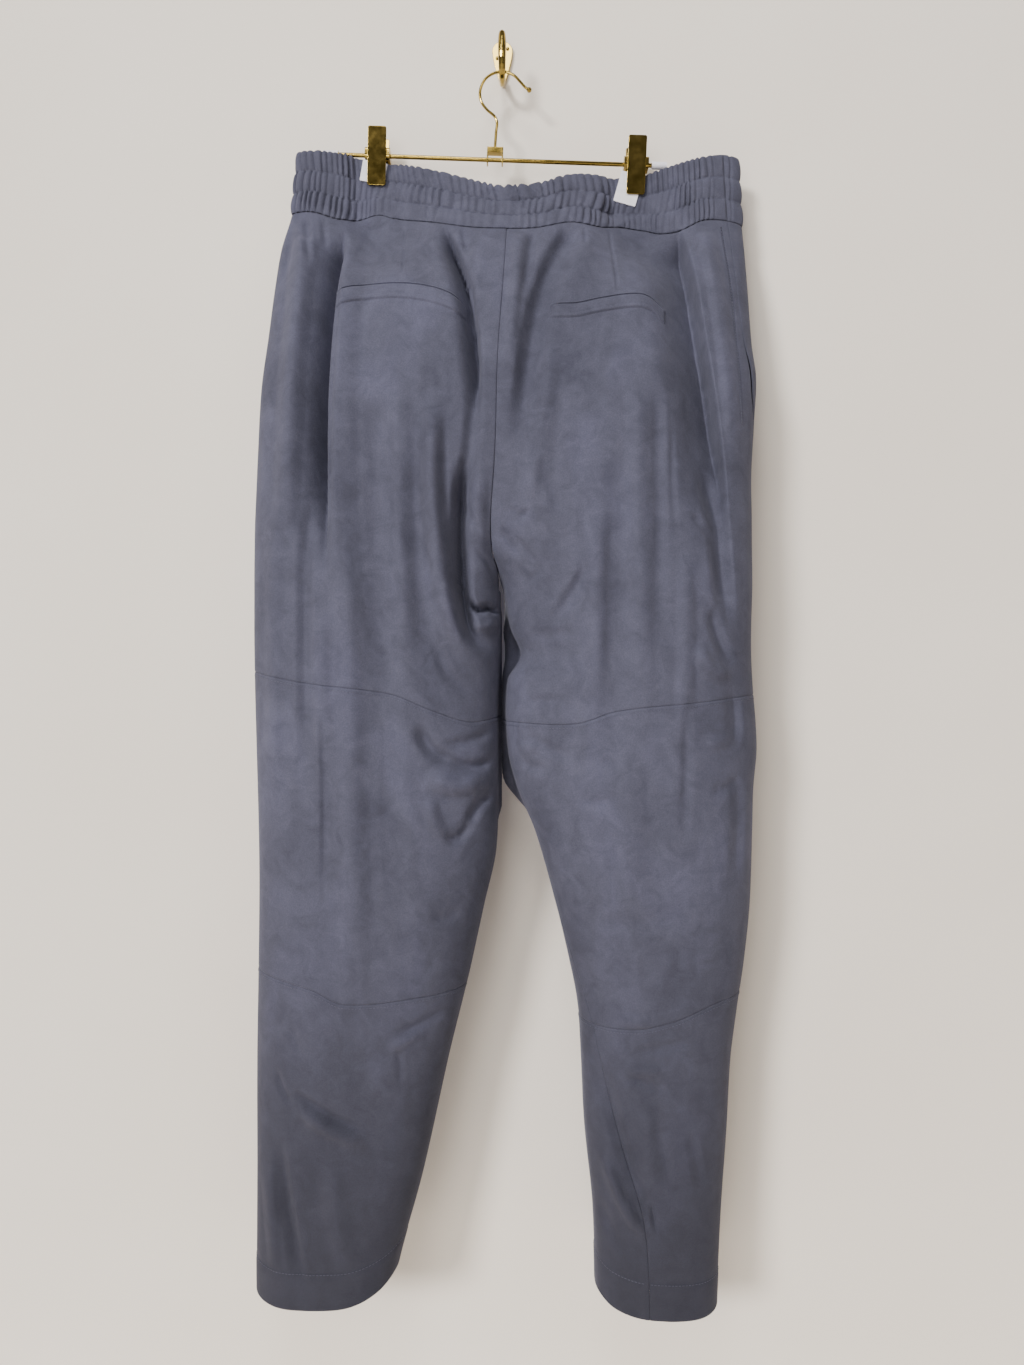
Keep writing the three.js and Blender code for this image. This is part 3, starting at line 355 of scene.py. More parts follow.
# Back pocket welts: the top edge as (x, z), and the welt's height.
WELTS = {
    "left": {
        "top": [(-146, -257), (-122, -250.5), (-92, -249), (-62, -253.5), (-29, -267)],
        "height": 16.0,
    },
    "right": {
        "top": [(42, -270), (64, -269.5), (88, -264), (116, -260), (130, -262.5), (145, -273)],
        "height": 14.0,
    },
}
# Depths and widths over a welt: sunk edge, upper lip above the mouth, strip and its fuller lower
# part, the mouth's groove, the sewn line at a share of the height, and the turned-in ends.
WELT_FORM = {
    "sunk": -0.25, "lip": 2.4, "strip": 1.5, "fuller": 0.5,
    "mouth": 2.4, "mouth_width": 0.6, "mouth_end": 14.0,
    "sewn": 0.3, "sewn_at": 0.62, "sewn_width": 0.9,
    "end": 1.7, "end_at": 1.3, "end_width": 0.9,
}


def column(table, index):
    """One column of a table."""
    return np.array([row[index] for row in table], float)


def read(table, at, value=1, key=0):
    """A smooth curve through a table's rows, read at one column for the value of another."""
    order = np.argsort(column(table, key))
    keys = column(table, key)[order]
    values = column(table, value)[order]
    last = len(keys) - 1
    before = np.maximum(np.arange(last + 1) - 1, 0)
    after = np.minimum(np.arange(last + 1) + 1, last)
    slopes = (values[after] - values[before]) / (keys[after] - keys[before])
    at = np.clip(np.asarray(at, float), keys[0], keys[-1])
    i = np.clip(np.searchsorted(keys, at, side="right") - 1, 0, last - 1)
    span = keys[i + 1] - keys[i]
    t = (at - keys[i]) / span
    ease = t * t * (3 - 2 * t)
    bend = t * (1 - t) ** 2 * slopes[i] * span - t * t * (1 - t) * slopes[i + 1] * span
    return values[i] + (values[i + 1] - values[i]) * ease + bend


def smoothstep(low, high, value):
    """0 up to low, 1 from high on, and a soft rise between."""
    t = np.clip((value - low) / (high - low), 0, 1)
    return t * t * (3 - 2 * t)


def power(value, exponent):
    """A power that keeps the value's sign."""
    return np.sign(value) * np.abs(value) ** exponent


def lattice_noise(seed, across, down, step_across, step_down):
    """Smooth noise between -1 and 1 over two lengths, the same on each run."""
    grid = np.random.default_rng(seed).uniform(-1, 1, (64, 256))
    u = across / step_across + 32
    v = down / step_down + 128
    i, j = np.floor(u).astype(int), np.floor(v).astype(int)
    fu, fv = u - i, v - j
    fu, fv = fu * fu * (3 - 2 * fu), fv * fv * (3 - 2 * fv)

    def row(b):
        first, second = grid[i % 64, (j + b) % 256], grid[(i + 1) % 64, (j + b) % 256]
        return first * (1 - fu) + second * fu

    return row(0) * (1 - fv) + row(1) * fv


def smooth_path(places, spacing=6.0):
    """Places joined by a smooth curve, as points about a spacing apart."""
    places = np.array(places, float)
    ahead = np.vstack([2 * places[0] - places[1], places, 2 * places[-1] - places[-2]])
    points = []
    for a, b, c, d in zip(ahead, ahead[1:], ahead[2:], ahead[3:]):
        count = max(int(np.hypot(*(c - b)) / spacing), 2)
        for t in np.arange(count) / count:
            curve = 2 * a - 5 * b + 4 * c - d + t * (3 * (b - c) + d - a)
            points.append(b + 0.5 * t * (c - a + t * curve))
    return np.array(points + [places[-1]])


def fold_rise(fold, x, z):
    """Height of one fold at each (x, z), with its two sides and its ends dying out softly."""
    row = dict(zip(FOLD_COLUMNS, fold))
    line = smooth_path(row["path"])
    reach = max(row["left"], row["right"])
    low, high = line.min(axis=0) - reach, line.max(axis=0) + reach
    inside = (x > low[0]) & (x < high[0]) & (z > low[1]) & (z < high[1])
    rise = np.zeros_like(x)
    if not inside.any():
        return rise
    px, pz = x[inside], z[inside]
    best = np.full(px.shape, 1e9)
    along = np.zeros(px.shape)
    side = np.zeros(px.shape)
    steps = np.diff(line, axis=0)
    lengths = np.hypot(*steps.T)
    starts = np.concatenate([[0], np.cumsum(lengths)])
    for (ax, az), (dx, dz), span, begun in zip(line, steps, lengths, starts):
        f = np.clip(((px - ax) * dx + (pz - az) * dz) / span ** 2, 0, 1)
        ox, oz = px - ax - f * dx, pz - az - f * dz
        away = np.hypot(ox, oz)
        nearer = away < best
        best = np.where(nearer, away, best)
        along = np.where(nearer, begun + f * span, along)
        side = np.where(nearer, dx * oz - dz * ox, side)
    # Going down a path, its right as seen from the room has a positive cross product.
    reach_here = np.where(side > 0, row["right"], row["left"])
    q = np.clip(best / reach_here, 0, 1)
    across = (1 - q * q) ** 2 * (1 - row["crisp"]) + (1 - q) ** 2.5 * row["crisp"]
    total = starts[-1]
    head = min(FADE["head"], total * FADE["head_share"])
    if line[0][1] > FADE["band_z"]:
        head = FADE["at_band"] + FADE["per_rise"] * abs(row["rise"])
    ends = smoothstep(0, head, along) * smoothstep(0, total * FADE["tail_share"], total - along)
    rise[inside] = row["rise"] * across * ends
    return rise


def centre_seam(z):
    """x of the centre seam, the mean of both halves' inner edges."""
    return sum(read(LEVELS[half], z, 2) for half in LEVELS) / 2


def level(half, z):
    """Section of a half at a height: outer edge, near and far face, split, and its half width."""
    outer, inner, near, far, split = (read(LEVELS[half], z, n) for n in range(1, 6))
    split = np.clip(split, 0, 1)
    inner = inner + (centre_seam(z) - inner) * smoothstep(CROTCH["parted"], CROTCH["shared"], z)
    reach = (outer - inner) / (1 + split)
    return outer, near, far, split, reach


def pinch(x, z):
    """How strongly a clip pulls the two layers together, from 0 to 1."""
    soft = np.zeros_like(x)
    firm = np.zeros_like(x)
    for side in ("left", "right"):
        soft = np.maximum(soft, np.exp(-2 * ((x - CLIP_X[side]) / PINCH["reach"]) ** 2))
        firm = np.maximum(firm, 1 - smoothstep(GRIP["full"], GRIP["none"], np.abs(x - GRIP[side])))
    soft = soft * smoothstep(PINCH["none_z"], PINCH["full_z"], z)
    return np.maximum(soft, firm * smoothstep(GRIP["none_z"], GRIP["full_z"], z))


def ripple(x, z, swing):
    """Faint unevenness of hanging suede, stretched down the leg, and the handled look of it."""
    place = x + np.where(swing > 0, 0.0, FRONT_SHIFT)
    return sum(lattice_noise(seed, place, z, across, down) * rise for seed, across, down, rise in RIPPLES)


def wrap(turn):
    """A turn past the inseam counts on from the back's start."""
    return np.where(turn > 1, turn - 1, turn)


def start_angle(split):
    """Where a section begins: at its side for a half of the seat, on its edge for a closed leg."""
    return np.arccos(split ** (ROUNDNESS / 2))


def cloth(half, turn, z):
    """Points of the cloth's outer face, as arrays x and y."""
    turn, z = np.broadcast_arrays(np.asarray(turn, float), np.asarray(z, float))
    outer, near, far, split, reach = level(half, z)
    start = start_angle(split)
    angle = start + wrap(turn) * 2 * (np.pi - start)
    x = outer - reach - reach * power(np.cos(angle), 2 / ROUNDNESS)
    swing = power(np.sin(angle), 2 / ROUNDNESS)
    y = (near + far) / 2 - (far - near) / 2 * swing
    inner = smoothstep(*FRONT_LEANS["inner"], np.cos(angle))
    lean = read(LEAN_IN[half], z) * smoothstep(*FRONT_LEANS["far"], -swing) * inner
    x = x - lean if half == "right" else x + lean
    flank = smoothstep(*FLANK["folds"], np.abs(swing))
    back = sum(fold_rise(fold, x, z) for fold in BACK_FOLDS)
    front = sum(fold_rise(fold, x, z) for fold in FRONT_FOLDS)
    rise = np.where(swing > 0, back, front) * flank
    rise = rise + ripple(x, z, swing) * flank * smoothstep(*RIPPLE_BEGINS, z)
    y = y - np.sign(swing) * rise
    held = HANGER_Y - np.sign(swing) * (BAND_WALL + LAYERS_APART / 2)
    y = y + (held - y) * pinch(x, z) * smoothstep(*FLANK["pinch"], np.abs(swing))
    return x, y


def outward(half, turn, z):
    """Level unit normals of the cloth, pointing out."""
    step = 0.003
    x1, y1 = cloth(half, np.maximum(turn - step, 0), z)
    x2, y2 = cloth(half, turn + step, z)
    across, deep = x2 - x1, y2 - y1
    length = np.hypot(across, deep) + 1e-9
    sign = 1 if half == "right" else -1
    return sign * deep / length, -sign * across / length


def keep_side(half, x, z):
    """Keeps each half on its own side of the centre seam, and each leg off the other."""
    centre = np.where(z > CROTCH["parted"], centre_seam(np.maximum(z, CROTCH["shared"])), 0)
    if half == "right":
        return np.maximum(x, centre + SEAM_GAP / 2)
    return np.minimum(x, centre - SEAM_GAP / 2)


def panel_bounds(half, side, z):
    """Turns at which a panel of the back or the front begins and ends."""
    inseam = np.maximum(read(INSEAM[half], z), 0)
    seam = read(SIDE_SEAM[half], z)
    if side == "back":
        return inseam, seam - SEAM_TURN
    below = smoothstep(POCKET_MOUTH["bottom"], POCKET_MOUTH["bottom"] + POCKET_MOUTH["ease"], z)
    above = smoothstep(POCKET_MOUTH["top"], POCKET_MOUTH["top"] - POCKET_MOUTH["ease"], z)
    gape = below * above * POCKET_MOUTH["open"] if half == "right" else 0
    return seam + SEAM_TURN + gape, 1 + inseam


def settle(edge, half, side, fraction):
    """Heights at which a panel's columns meet an edge that is given along x."""
    z = read(edge, np.full(fraction.shape, HALF_MIDDLE[half]))
    for _ in range(SETTLE_ROUNDS):
        low, high = panel_bounds(half, side, z)
        x, _ = cloth(half, low + (high - low) * fraction, z)
        z = read(edge, x)
    return z


def uneven_steps(length, step):
    """Fractions along a length, a step apart, and closer near both ends where seams roll in."""
    edge = [s for s in EDGE_STEPS if s < length / 3]
    inner = np.linspace(edge[-1], length - edge[-1], max(int(length / step), 2))[1:-1]
    return np.concatenate([edge, inner, length - np.array(edge[::-1])]) / length


def link(name, data):
    """A new object in the scene, at the origin."""
    made = bpy.data.objects.new(name, data)
    bpy.context.collection.objects.link(made)
    return made


def grid_object(name, x, y, z, thickness, flip=False):
    """A sheet from a grid of points in millimetres, its outer face out, given its wall."""
    rows, columns = x.shape
    points = np.stack([x, y, z], axis=-1).reshape(-1, 3) * MM
    index = np.arange(rows * columns).reshape(rows, columns)
    corners = [index[:-1, :-1], index[1:, :-1], index[1:, 1:], index[:-1, 1:]]
    quads = np.stack(corners[::-1] if flip else corners, axis=-1).reshape(-1, 4)
    mesh = bpy.data.meshes.new(name)
    mesh.from_pydata(points.tolist(), [], quads.tolist())
    mesh.polygons.foreach_set("use_smooth", [True] * len(mesh.polygons))
    piece = link(name, mesh)
    wall = piece.modifiers.new("wall", "SOLIDIFY")
    wall.thickness = thickness * MM
    wall.offset = -1
    wall.use_even_offset = False
    return piece


def spread(x, y, z):
    """Greatest width, greatest length and area along a grid of points, in metres."""
    along = np.sqrt(np.diff(x, axis=1) ** 2 + np.diff(y, axis=1) ** 2 + np.diff(z, axis=1) ** 2) * MM
    down = np.sqrt(np.diff(x, axis=0) ** 2 + np.diff(y, axis=0) ** 2 + np.diff(z, axis=0) ** 2) * MM
    area = (along[1:] * down[:, 1:]).sum()
    width, length = along.sum(axis=1).max(), down.sum(axis=0).max()
    return float(width), float(length), float(min(area, width * length))


def ride(piece, slot, material, *nodes):
    """Gives a piece its material and body, and hides the CAD nodes that it stands for; its slot is not used.
    """
    piece.data.materials.clear()
    piece.data.materials.append(material)
    if nodes:
        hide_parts(*nodes)
    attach(piece, BODY)


TIERS = ("upper", "middle", "lower")


def tier_edges(half, tier):
    """Upper and lower edge of the panels of a tier."""
    edges = (BAND_SEAM, THIGH_SEAM[half], KNEE_SEAM[half], HEM[half])
    place = TIERS.index(tier)
    return edges[place], edges[place + 1]


def panel_grid(half, side, tier):
    """Turn and height of each point of a panel, rows from its top edge to its bottom edge."""
    top_edge, bottom_edge = tier_edges(half, tier)
    fractions = uneven_steps(PANEL_WIDTH, PANEL_WIDTH / PANEL_COLUMNS[side])
    top = settle(top_edge, half, side, fractions) - SEAM_GAP / 2
    bottom = settle(bottom_edge, half, side, fractions)
    if tier != "lower":
        bottom = bottom + SEAM_GAP / 2
    length = float(np.mean(top - bottom))
    down = uneven_steps(length, ROW_STEP[side])[:, None]
    z = top[None, :] + (bottom - top)[None, :] * down
    low, high = panel_bounds(half, side, z)
    turn = low + (high - low) * fractions[None, :]
    return turn, z, top, bottom, fractions


def roll_in(distance):
    """How far the cloth dips towards a seam at a distance from it."""
    near = np.clip(1 - distance / SEAM_ROLL["reach"], 0, 1)
    return SEAM_ROLL["depth"] * near * near


def leg_panel(half, side, tier):
    """One panel of suede, its edges rolled into the seams or turned up at the hem."""
    turn, z, top, bottom, fractions = panel_grid(half, side, tier)
    x, y = cloth(half, turn, z)
    nx, ny = outward(half, wrap(turn), z)
    edge = np.minimum(fractions, 1 - fractions)[None, :] * PANEL_WIDTH
    dip = roll_in(edge) + roll_in(top[None, :] - z)
    if tier == "lower":
        up = z - bottom[None, :]
        over = up - HEM_TURN_UP["height"]
        dip -= HEM_TURN_UP["rise"] * smoothstep(1.5, -2, over)
        dip += HEM_TURN_UP["groove"] * np.exp(-((over / HEM_TURN_UP["groove_width"]) ** 2))
        dip += HEM_EDGE["depth"] * np.clip(1 - up / HEM_EDGE["reach"], 0, 1) ** 2
    else:
        dip += roll_in(z - bottom[None, :])
    x = keep_side(half, x - nx * dip, z)
    y = y - ny * dip
    name = f"suede_{half}_{side}_{tier}"
    piece = grid_object(name, x, y, z, SUEDE, flip=half == "left")
    ride(piece, "suede", SUEDE_MATERIAL, f"{half}_{side}_{tier}")
    return piece, spread(x, y, z)


def gather_wave(x, v):
    """Gathers of the elastic casing at x and at v down its height: crisp valleys, full crests."""
    channel = np.clip(np.floor(v * BAND_CHANNELS), 0, BAND_CHANNELS - 1).astype(int)
    ruler = np.arange(-260.0, 261.0)
    pitch = GATHER["middle"] + (GATHER["sides"] - GATHER["middle"]) * smoothstep(50, 150, np.abs(ruler))
    counted = np.interp(x, ruler, np.cumsum(1 / pitch))
    uneven = {
        name: lattice_noise(seed, x, channel * CHANNEL_SHIFT, step, CHANNEL_SHIFT) * size
        for name, (seed, step, size) in GATHER_UNEVENNESS.items()
    }
    lean = np.array(GATHER["lean"])[channel] + uneven["lean"]
    phase = counted + (uneven["sway"] + uneven["shiver"])
    phase = phase + lean * (v * BAND_CHANNELS - channel - 0.5) / GATHER["middle"]
    crest = np.abs(np.sin(np.pi * phase)) ** GATHER_SHAPE["crest"]
    strength = GATHER_SHAPE["usual"] + uneven["strength"]
    gathered = 1 - smoothstep(PLAIN_END["from"], PLAIN_END["to"], x)
    off_seam = (x - PLAIN_END["seam"]) / GATHER_SHAPE["groove_width"]
    seam = GATHER_SHAPE["end_groove"] * np.exp(-(off_seam ** 2))
    return (crest - 0.5) * strength * np.array(GATHER["deep"])[channel] * gathered - seam


def waistband(side):
    """The elastic casing: three stitched channels that puff out, and gathers across them."""
    columns = BAND_COLUMNS[side]
    across = np.linspace(-1, 1, columns + 1)
    down = np.linspace(0, 1, BAND_ROWS + 1)[:, None]
    parts = []
    for half, mask in (("left", across < 0), ("right", across >= 0)):
        part = np.abs(across[mask])
        seam = float(read(SIDE_SEAM[half], BAND_MIDDLE))
        span = (seam if side == "back" else 1 - seam) - 2.5 * SEAM_TURN
        turn = part * span if side == "back" else 1 - part * span
        top = np.full(part.shape, BAND_START)
        bottom = top.copy()
        for _ in range(8):
            top = read(BAND_TOP, cloth(half, turn, top)[0])
            bottom = read(BAND_SEAM, cloth(half, turn, bottom)[0])
        bottom = bottom + SEAM_GAP
        z = top[None, :] + (bottom - top)[None, :] * down
        turns = np.broadcast_to(turn[None, :], z.shape)
        x, y = cloth(half, turns, z)
        nx, ny = outward(half, turns, z)
        v = np.broadcast_to(down, z.shape)
        grip = smoothstep(0.75, 0.97, pinch(x, z))
        puff = CHANNEL_RISE * np.abs(np.sin(np.pi * v * BAND_CHANNELS)) ** CHANNEL_FULLNESS
        lower = 1 - 0.5 * smoothstep(0.85, 1.0, v)
        wave = GATHER["rise"] * gather_wave(x, v) * lower
        ends = smoothstep(0, 0.03, 1 - part)[None, :]
        rise = (puff + wave) * (1 - 0.6 * grip) * ends
        x, y = x + nx * rise, y + ny * rise
        # Each gather also lifts or drops the edge a little.
        lift = gather_wave(x, v * 0) * 0.5 * (1 - v) ** 3 * (1 - grip)
        parts.append((x, y, z + lift))
    x, y, z = (np.concatenate([left, right], axis=1) for left, right in zip(*parts))
    piece = grid_object(f"suede_waistband_{side}", x, y, z, BAND_WALL * 0.8, flip=side == "front")
    ride(piece, "suede", SUEDE_MATERIAL, f"waistband_{side}")
    return piece, spread(x, y, z)


def turn_at(half, x, z):
    """Turn round the half of the back's point that lies at x."""
    outer, _, _, split, reach = level(half, z)
    start = start_angle(split)
    cosine = np.clip((outer - reach - x) / reach, -1, 1)
    return (np.arccos(power(cosine, ROUNDNESS / 2)) - start) / (2 * (np.pi - start))


def on_back(half, x, z, lift=0.0):
    """Depth of the back at (x, z), moved out by lift."""
    _, y = cloth(half, turn_at(half, x, z), z)
    return y - lift


def welt(half):
    """A bound pocket welt: a narrow upper lip, the mouth as a thin groove, and a flat strip."""
    top, height = WELTS[half]["top"], WELTS[half]["height"]
    left, right = top[0][0], top[-1][0]
    form = WELT_FORM
    down = np.concatenate([np.linspace(-form["lip"], 3, 19), np.linspace(3.6, height, 26)])[:, None]
    x, down = np.broadcast_arrays(np.linspace(left, right, 190)[None, :], down)
    z = read(top, x) - down
    from_end = np.minimum(x - left, right - x)
    rounded = smoothstep(0, 1.6, from_end) * smoothstep(-form["lip"], -1.0, down)
    rounded = rounded * smoothstep(0, 3, height - down)
    mouth = np.exp(-((down / form["mouth_width"]) ** 2)) * smoothstep(0, form["mouth_end"], from_end)
    sewn = np.exp(-(((down - height * form["sewn_at"]) / form["sewn_width"]) ** 2))
    end = np.exp(-(((from_end - form["end_at"]) / form["end_width"]) ** 2)) * smoothstep(0, 2, down)
    strip = form["strip"] + form["fuller"] * smoothstep(0.4, 2.2, down) - form["sewn"] * sewn
    lift = form["sunk"] + rounded * strip + 0.15 * lattice_noise(31, x, z, 16, 8)
    lift = np.maximum(lift, form["sunk"]) - form["mouth"] * mouth - form["end"] * end * rounded
    y = on_back(half, x, z) - lift
    piece = grid_object(f"suede_{half}_back_welt", x, y, z, WELT_WALL)
    ride(piece, "suede", SUEDE_MATERIAL, f"{half}_back_welt")
    return piece, spread(x, y, z)


def linear(hex_colour):
    """Linear colour of an sRGB hex value."""
    channels = [int(hex_colour[n:n + 2], 16) / 255 for n in (1, 3, 5)]
    return [c / 12.92 if c <= 0.04045 else ((c + 0.055) / 1.055) ** 2.4 for c in channels] + [1.0]


def add(tree, kind, settings=None, inputs=None):
    """Adds a node with its settings and inputs; an input may be a value or a socket."""
    made = tree.nodes.new(kind)
    for key, value in (settings or {}).items():
        setattr(made, key, value)
    for key, value in (inputs or {}).items():
        if isinstance(value, bpy.types.NodeSocket):
            tree.links.new(value, made.inputs[key])
        else:
            made.inputs[key].default_value = value
    return made


def new_material(name):
    """A material with a plain shader joined to its output, and the places that patterns follow."""
    material = bpy.data.materials.new(name)
    material.use_nodes = True
    tree = material.node_tree
    tree.nodes.clear()
    shader = add(tree, "ShaderNodeBsdfPrincipled")
    output = add(tree, "ShaderNodeOutputMaterial")
    tree.links.new(shader.outputs["BSDF"], output.inputs["Surface"])
    place = add(tree, "ShaderNodeTexCoord").outputs["Object"]
    return material, tree, shader, place


def colour_ramp(tree, factor, stops):
    """Colour of a factor between stops, each a place from 0 to 1 and an sRGB hex value."""
    ramp = add(tree, "ShaderNodeValToRGB", inputs={"Fac": factor})
    while len(ramp.color_ramp.elements) < len(stops):
        ramp.color_ramp.elements.new(0.5)
    for element, (place, colour) in zip(ramp.color_ramp.elements, stops):
        element.position = place
        element.color = linear(colour)
    return ramp.outputs["Color"]


def noise(tree, vector, size_mm, detail=2.0, roughness=0.5, distortion=0.0):
    """Noise whose blotches are about size_mm across."""
    inputs = {"Vector": vector, "Scale": 1 / (size_mm * MM), "Detail": detail,
              "Roughness": roughness, "Distortion": distortion}
    return add(tree, "ShaderNodeTexNoise", inputs=inputs).outputs["Fac"]


def mix_colour(tree, factor, first, second, blend="MIX"):
    """A mix of two colours, each a value or a socket."""
    made = add(tree, "ShaderNodeMix", {"data_type": "RGBA", "blend_type": blend})
    for socket, value in (("Factor_Float", factor), ("A_Color", first), ("B_Color", second)):
        target = next(s for s in made.inputs if s.identifier == socket)
        if isinstance(value, bpy.types.NodeSocket):
            tree.links.new(value, target)
        else:
            target.default_value = value
    return next(s for s in made.outputs if s.identifier == "Result_Color")


def napped_suede():
    """Blue-grey napped lambskin: a matt velvety pile brushed unevenly, so patches lie lighter
    or darker and bluer or greyer, with a soft bloom where it turns from the light, and painted
    shade that darkens it towards the hems."""
    material, tree, shader, place = new_material("napped_lambskin_suede_blue_grey")
    stretched = add(tree, "ShaderNodeMapping", inputs={"Vector": place, "Scale": (1.0, 1.0, 0.45)})
    broad = noise(tree, stretched.outputs["Vector"], 62, 3.0, 0.55, 0.6)
    brushed = noise(tree, place, 17, 4.0, 0.6, 0.8)
    colour = colour_ramp(tree, broad, [(0.3, "#4F5060"), (0.5, "#575869"), (0.7, "#5D5E72")])
    strokes = colour_ramp(tree, brushed, [(0.32, "#D8D8D8"), (0.68, "#FFFFFF")])
    colour = mix_colour(tree, 0.75, colour, strokes, "MULTIPLY")
    grain = noise(tree, place, 1.1, 3.0, 0.65)
    speckle = colour_ramp(tree, grain, [(0.3, "#C4C4C8"), (0.7, "#FFFFFF")])
    colour = mix_colour(tree, 0.55, colour, speckle, "MULTIPLY")
    # Painted shade: the nap's colour is darkened towards the hems, where the light from above falls off.
    height = add(tree, "ShaderNodeSeparateXYZ", inputs={"Vector": place}).outputs["Z"]
    painted_hem_shade = add(tree, "ShaderNodeMapRange", {"interpolation_type": "SMOOTHSTEP"}, {
        "Value": height, "From Min": -1.2, "From Max": -0.66, "To Min": 0.78, "To Max": 0.0})
    colour = mix_colour(tree, painted_hem_shade.outputs["Result"], colour, linear("#2A2A30"))
    tree.links.new(colour, shader.inputs["Base Color"])
    shader.inputs["Roughness"].default_value = 0.92
    shader.inputs["Specular IOR Level"].default_value = 0.12
    shader.inputs["Sheen Weight"].default_value = 0.15
    shader.inputs["Sheen Roughness"].default_value = 0.45
    shader.inputs["Sheen Tint"].default_value = linear("#C9CAE0")
    # The nap's own tufts are about 0.3 mm; 1.1 mm is as fine as the render can show.
    tufts = add(tree, "ShaderNodeBump", inputs={"Strength": 0.32, "Distance": 0.35 * MM, "Height": grain})
    pebble = noise(tree, place, 5.5, 3.0, 0.55)
    hand = add(tree, "ShaderNodeBump", inputs={
        "Strength": 0.28, "Distance": 1.0 * MM, "Height": pebble, "Normal": tufts.outputs["Normal"]})
    tree.links.new(hand.outputs["Normal"], shader.inputs["Normal"])
    return material


def gold_plate():
    """Polished gold plate on steel: a warm mirror finish, faintly smeared by handling."""
    material, tree, shader, place = new_material("polished_gold_plate")
    smears = noise(tree, place, 9, 3.0, 0.6)
    colour = colour_ramp(tree, smears, [(0.3, "#96803E"), (0.7, "#AC9450")])
    tree.links.new(colour, shader.inputs["Base Color"])
    shader.inputs["Metallic"].default_value = 1.0
    gloss = add(tree, "ShaderNodeMapRange", inputs={
        "Value": smears, "From Min": 0.3, "From Max": 0.7, "To Min": 0.1, "To Max": 0.2})
    tree.links.new(gloss.outputs["Result"], shader.inputs["Roughness"])
    # The stamped plates' edges are rounded, and catch the light as thin bright rims.
    rims = add(tree, "ShaderNodeBevel", {"samples": 6}, {"Radius": 0.7 * MM})
    tree.links.new(rims.outputs["Normal"], shader.inputs["Normal"])
    return material


def white_plastic():
    """White soft plastic of the bar's caps and the jaw pads: satin, with a faint cool cast."""
    material, tree, shader, place = new_material("white_soft_plastic")
    cloud = noise(tree, place, 6, 3.0, 0.5)
    colour = colour_ramp(tree, cloud, [(0.3, "#DEDDE8"), (0.7, "#ECEBF4")])
    tree.links.new(colour, shader.inputs["Base Color"])
    shader.inputs["Roughness"].default_value = 0.5
    grain = add(tree, "ShaderNodeBump", inputs={"Strength": 0.15, "Distance": 0.1 * MM, "Height": cloud})
    tree.links.new(grain.outputs["Normal"], shader.inputs["Normal"])
    return material


def sewing_thread():
    """Twisted polyester thread dyed to match the suede, with a slight gloss."""
    material, tree, shader, place = new_material("matched_polyester_thread")
    twist = noise(tree, place, 0.8, 1.0, 0.5)
    colour = colour_ramp(tree, twist, [(0.3, "#3C3D4E"), (0.7, "#4C4D60")])
    tree.links.new(colour, shader.inputs["Base Color"])
    shader.inputs["Roughness"].default_value = 0.6
    return material


SUEDE_MATERIAL = napped_suede()
GOLD_MATERIAL = gold_plate()
PAD_MATERIAL = white_plastic()
THREAD_MATERIAL = sewing_thread()


def stitch_tree():
    """Stitches along the edges of a mesh: short rounded bars, a pitch apart, turned along it."""
    tree = bpy.data.node_groups.new("stitches_along_seam", "GeometryNodeTree")
    face = tree.interface
    face.new_socket("Seam lines", in_out="INPUT", socket_type="NodeSocketGeometry")
    for label, value in (("Pitch", 3.1), ("Length", 2.1), ("Thickness", 0.6)):
        socket = face.new_socket(label, in_out="INPUT", socket_type="NodeSocketFloat")
        socket.default_value = value * MM
    face.new_socket("Stitches", in_out="OUTPUT", socket_type="NodeSocketGeometry")
    given = add(tree, "NodeGroupInput").outputs
    line = add(tree, "GeometryNodeMeshToCurve", inputs={"Mesh": given["Seam lines"]})
    points = add(tree, "GeometryNodeCurveToPoints", {"mode": "LENGTH"}, {
        "Curve": line.outputs["Curve"], "Length": given["Pitch"]})
    bar = add(tree, "GeometryNodeMeshCylinder", inputs={
        "Vertices": 6, "Side Segments": 1, "Radius": 0.5, "Depth": 1.0})
    along = add(tree, "FunctionNodeAlignRotationToVector", {"axis": "Z"}, {
        "Vector": points.outputs["Tangent"]})
    size = add(tree, "ShaderNodeCombineXYZ", inputs={
        "X": given["Thickness"], "Y": given["Thickness"], "Z": given["Length"]})
    placed = add(tree, "GeometryNodeInstanceOnPoints", inputs={
        "Points": points.outputs["Points"], "Instance": bar.outputs["Mesh"],
        "Rotation": along.outputs["Rotation"], "Scale": size.outputs["Vector"]})
    real = add(tree, "GeometryNodeRealizeInstances", inputs={"Geometry": placed.outputs["Instances"]})
    finish = add(tree, "GeometryNodeSetMaterial", inputs={
        "Geometry": real.outputs["Geometry"], "Material": THREAD_MATERIAL})
    add(tree, "NodeGroupOutput", inputs={"Stitches": finish.outputs["Geometry"]})
    return tree


def polylines_object(name, lines):
    """A mesh of open lines, from lists of points in millimetres."""
    points, edges = [], []
    for line in lines:
        first = len(points)
        points.extend((np.asarray(line) * MM).tolist())
        edges.extend((first + n, first + n + 1) for n in range(len(line) - 1))
    mesh = bpy.data.meshes.new(name)
    mesh.from_pydata(points, edges, [])
    return link(name, mesh)


def sew(name, lines, tree, sizes):
    """Stitches of given sizes along the given lines, as one plain mesh."""
    piece = polylines_object(name, lines)
    modifier = piece.modifiers.new("stitches", "NODES")
    modifier.node_group = tree
    for item in tree.interface.items_tree:
        if item.in_out == "INPUT" and item.name in sizes:
            modifier[item.identifier] = sizes[item.name] * MM
    piece.data.update()
    graph = bpy.context.evaluated_depsgraph_get()
    made = bpy.data.meshes.new_from_object(piece.evaluated_get(graph))
    piece.modifiers.remove(modifier)
    piece.data = made
    piece.data.name = name
    ride(piece, "suede", THREAD_MATERIAL)
    return piece


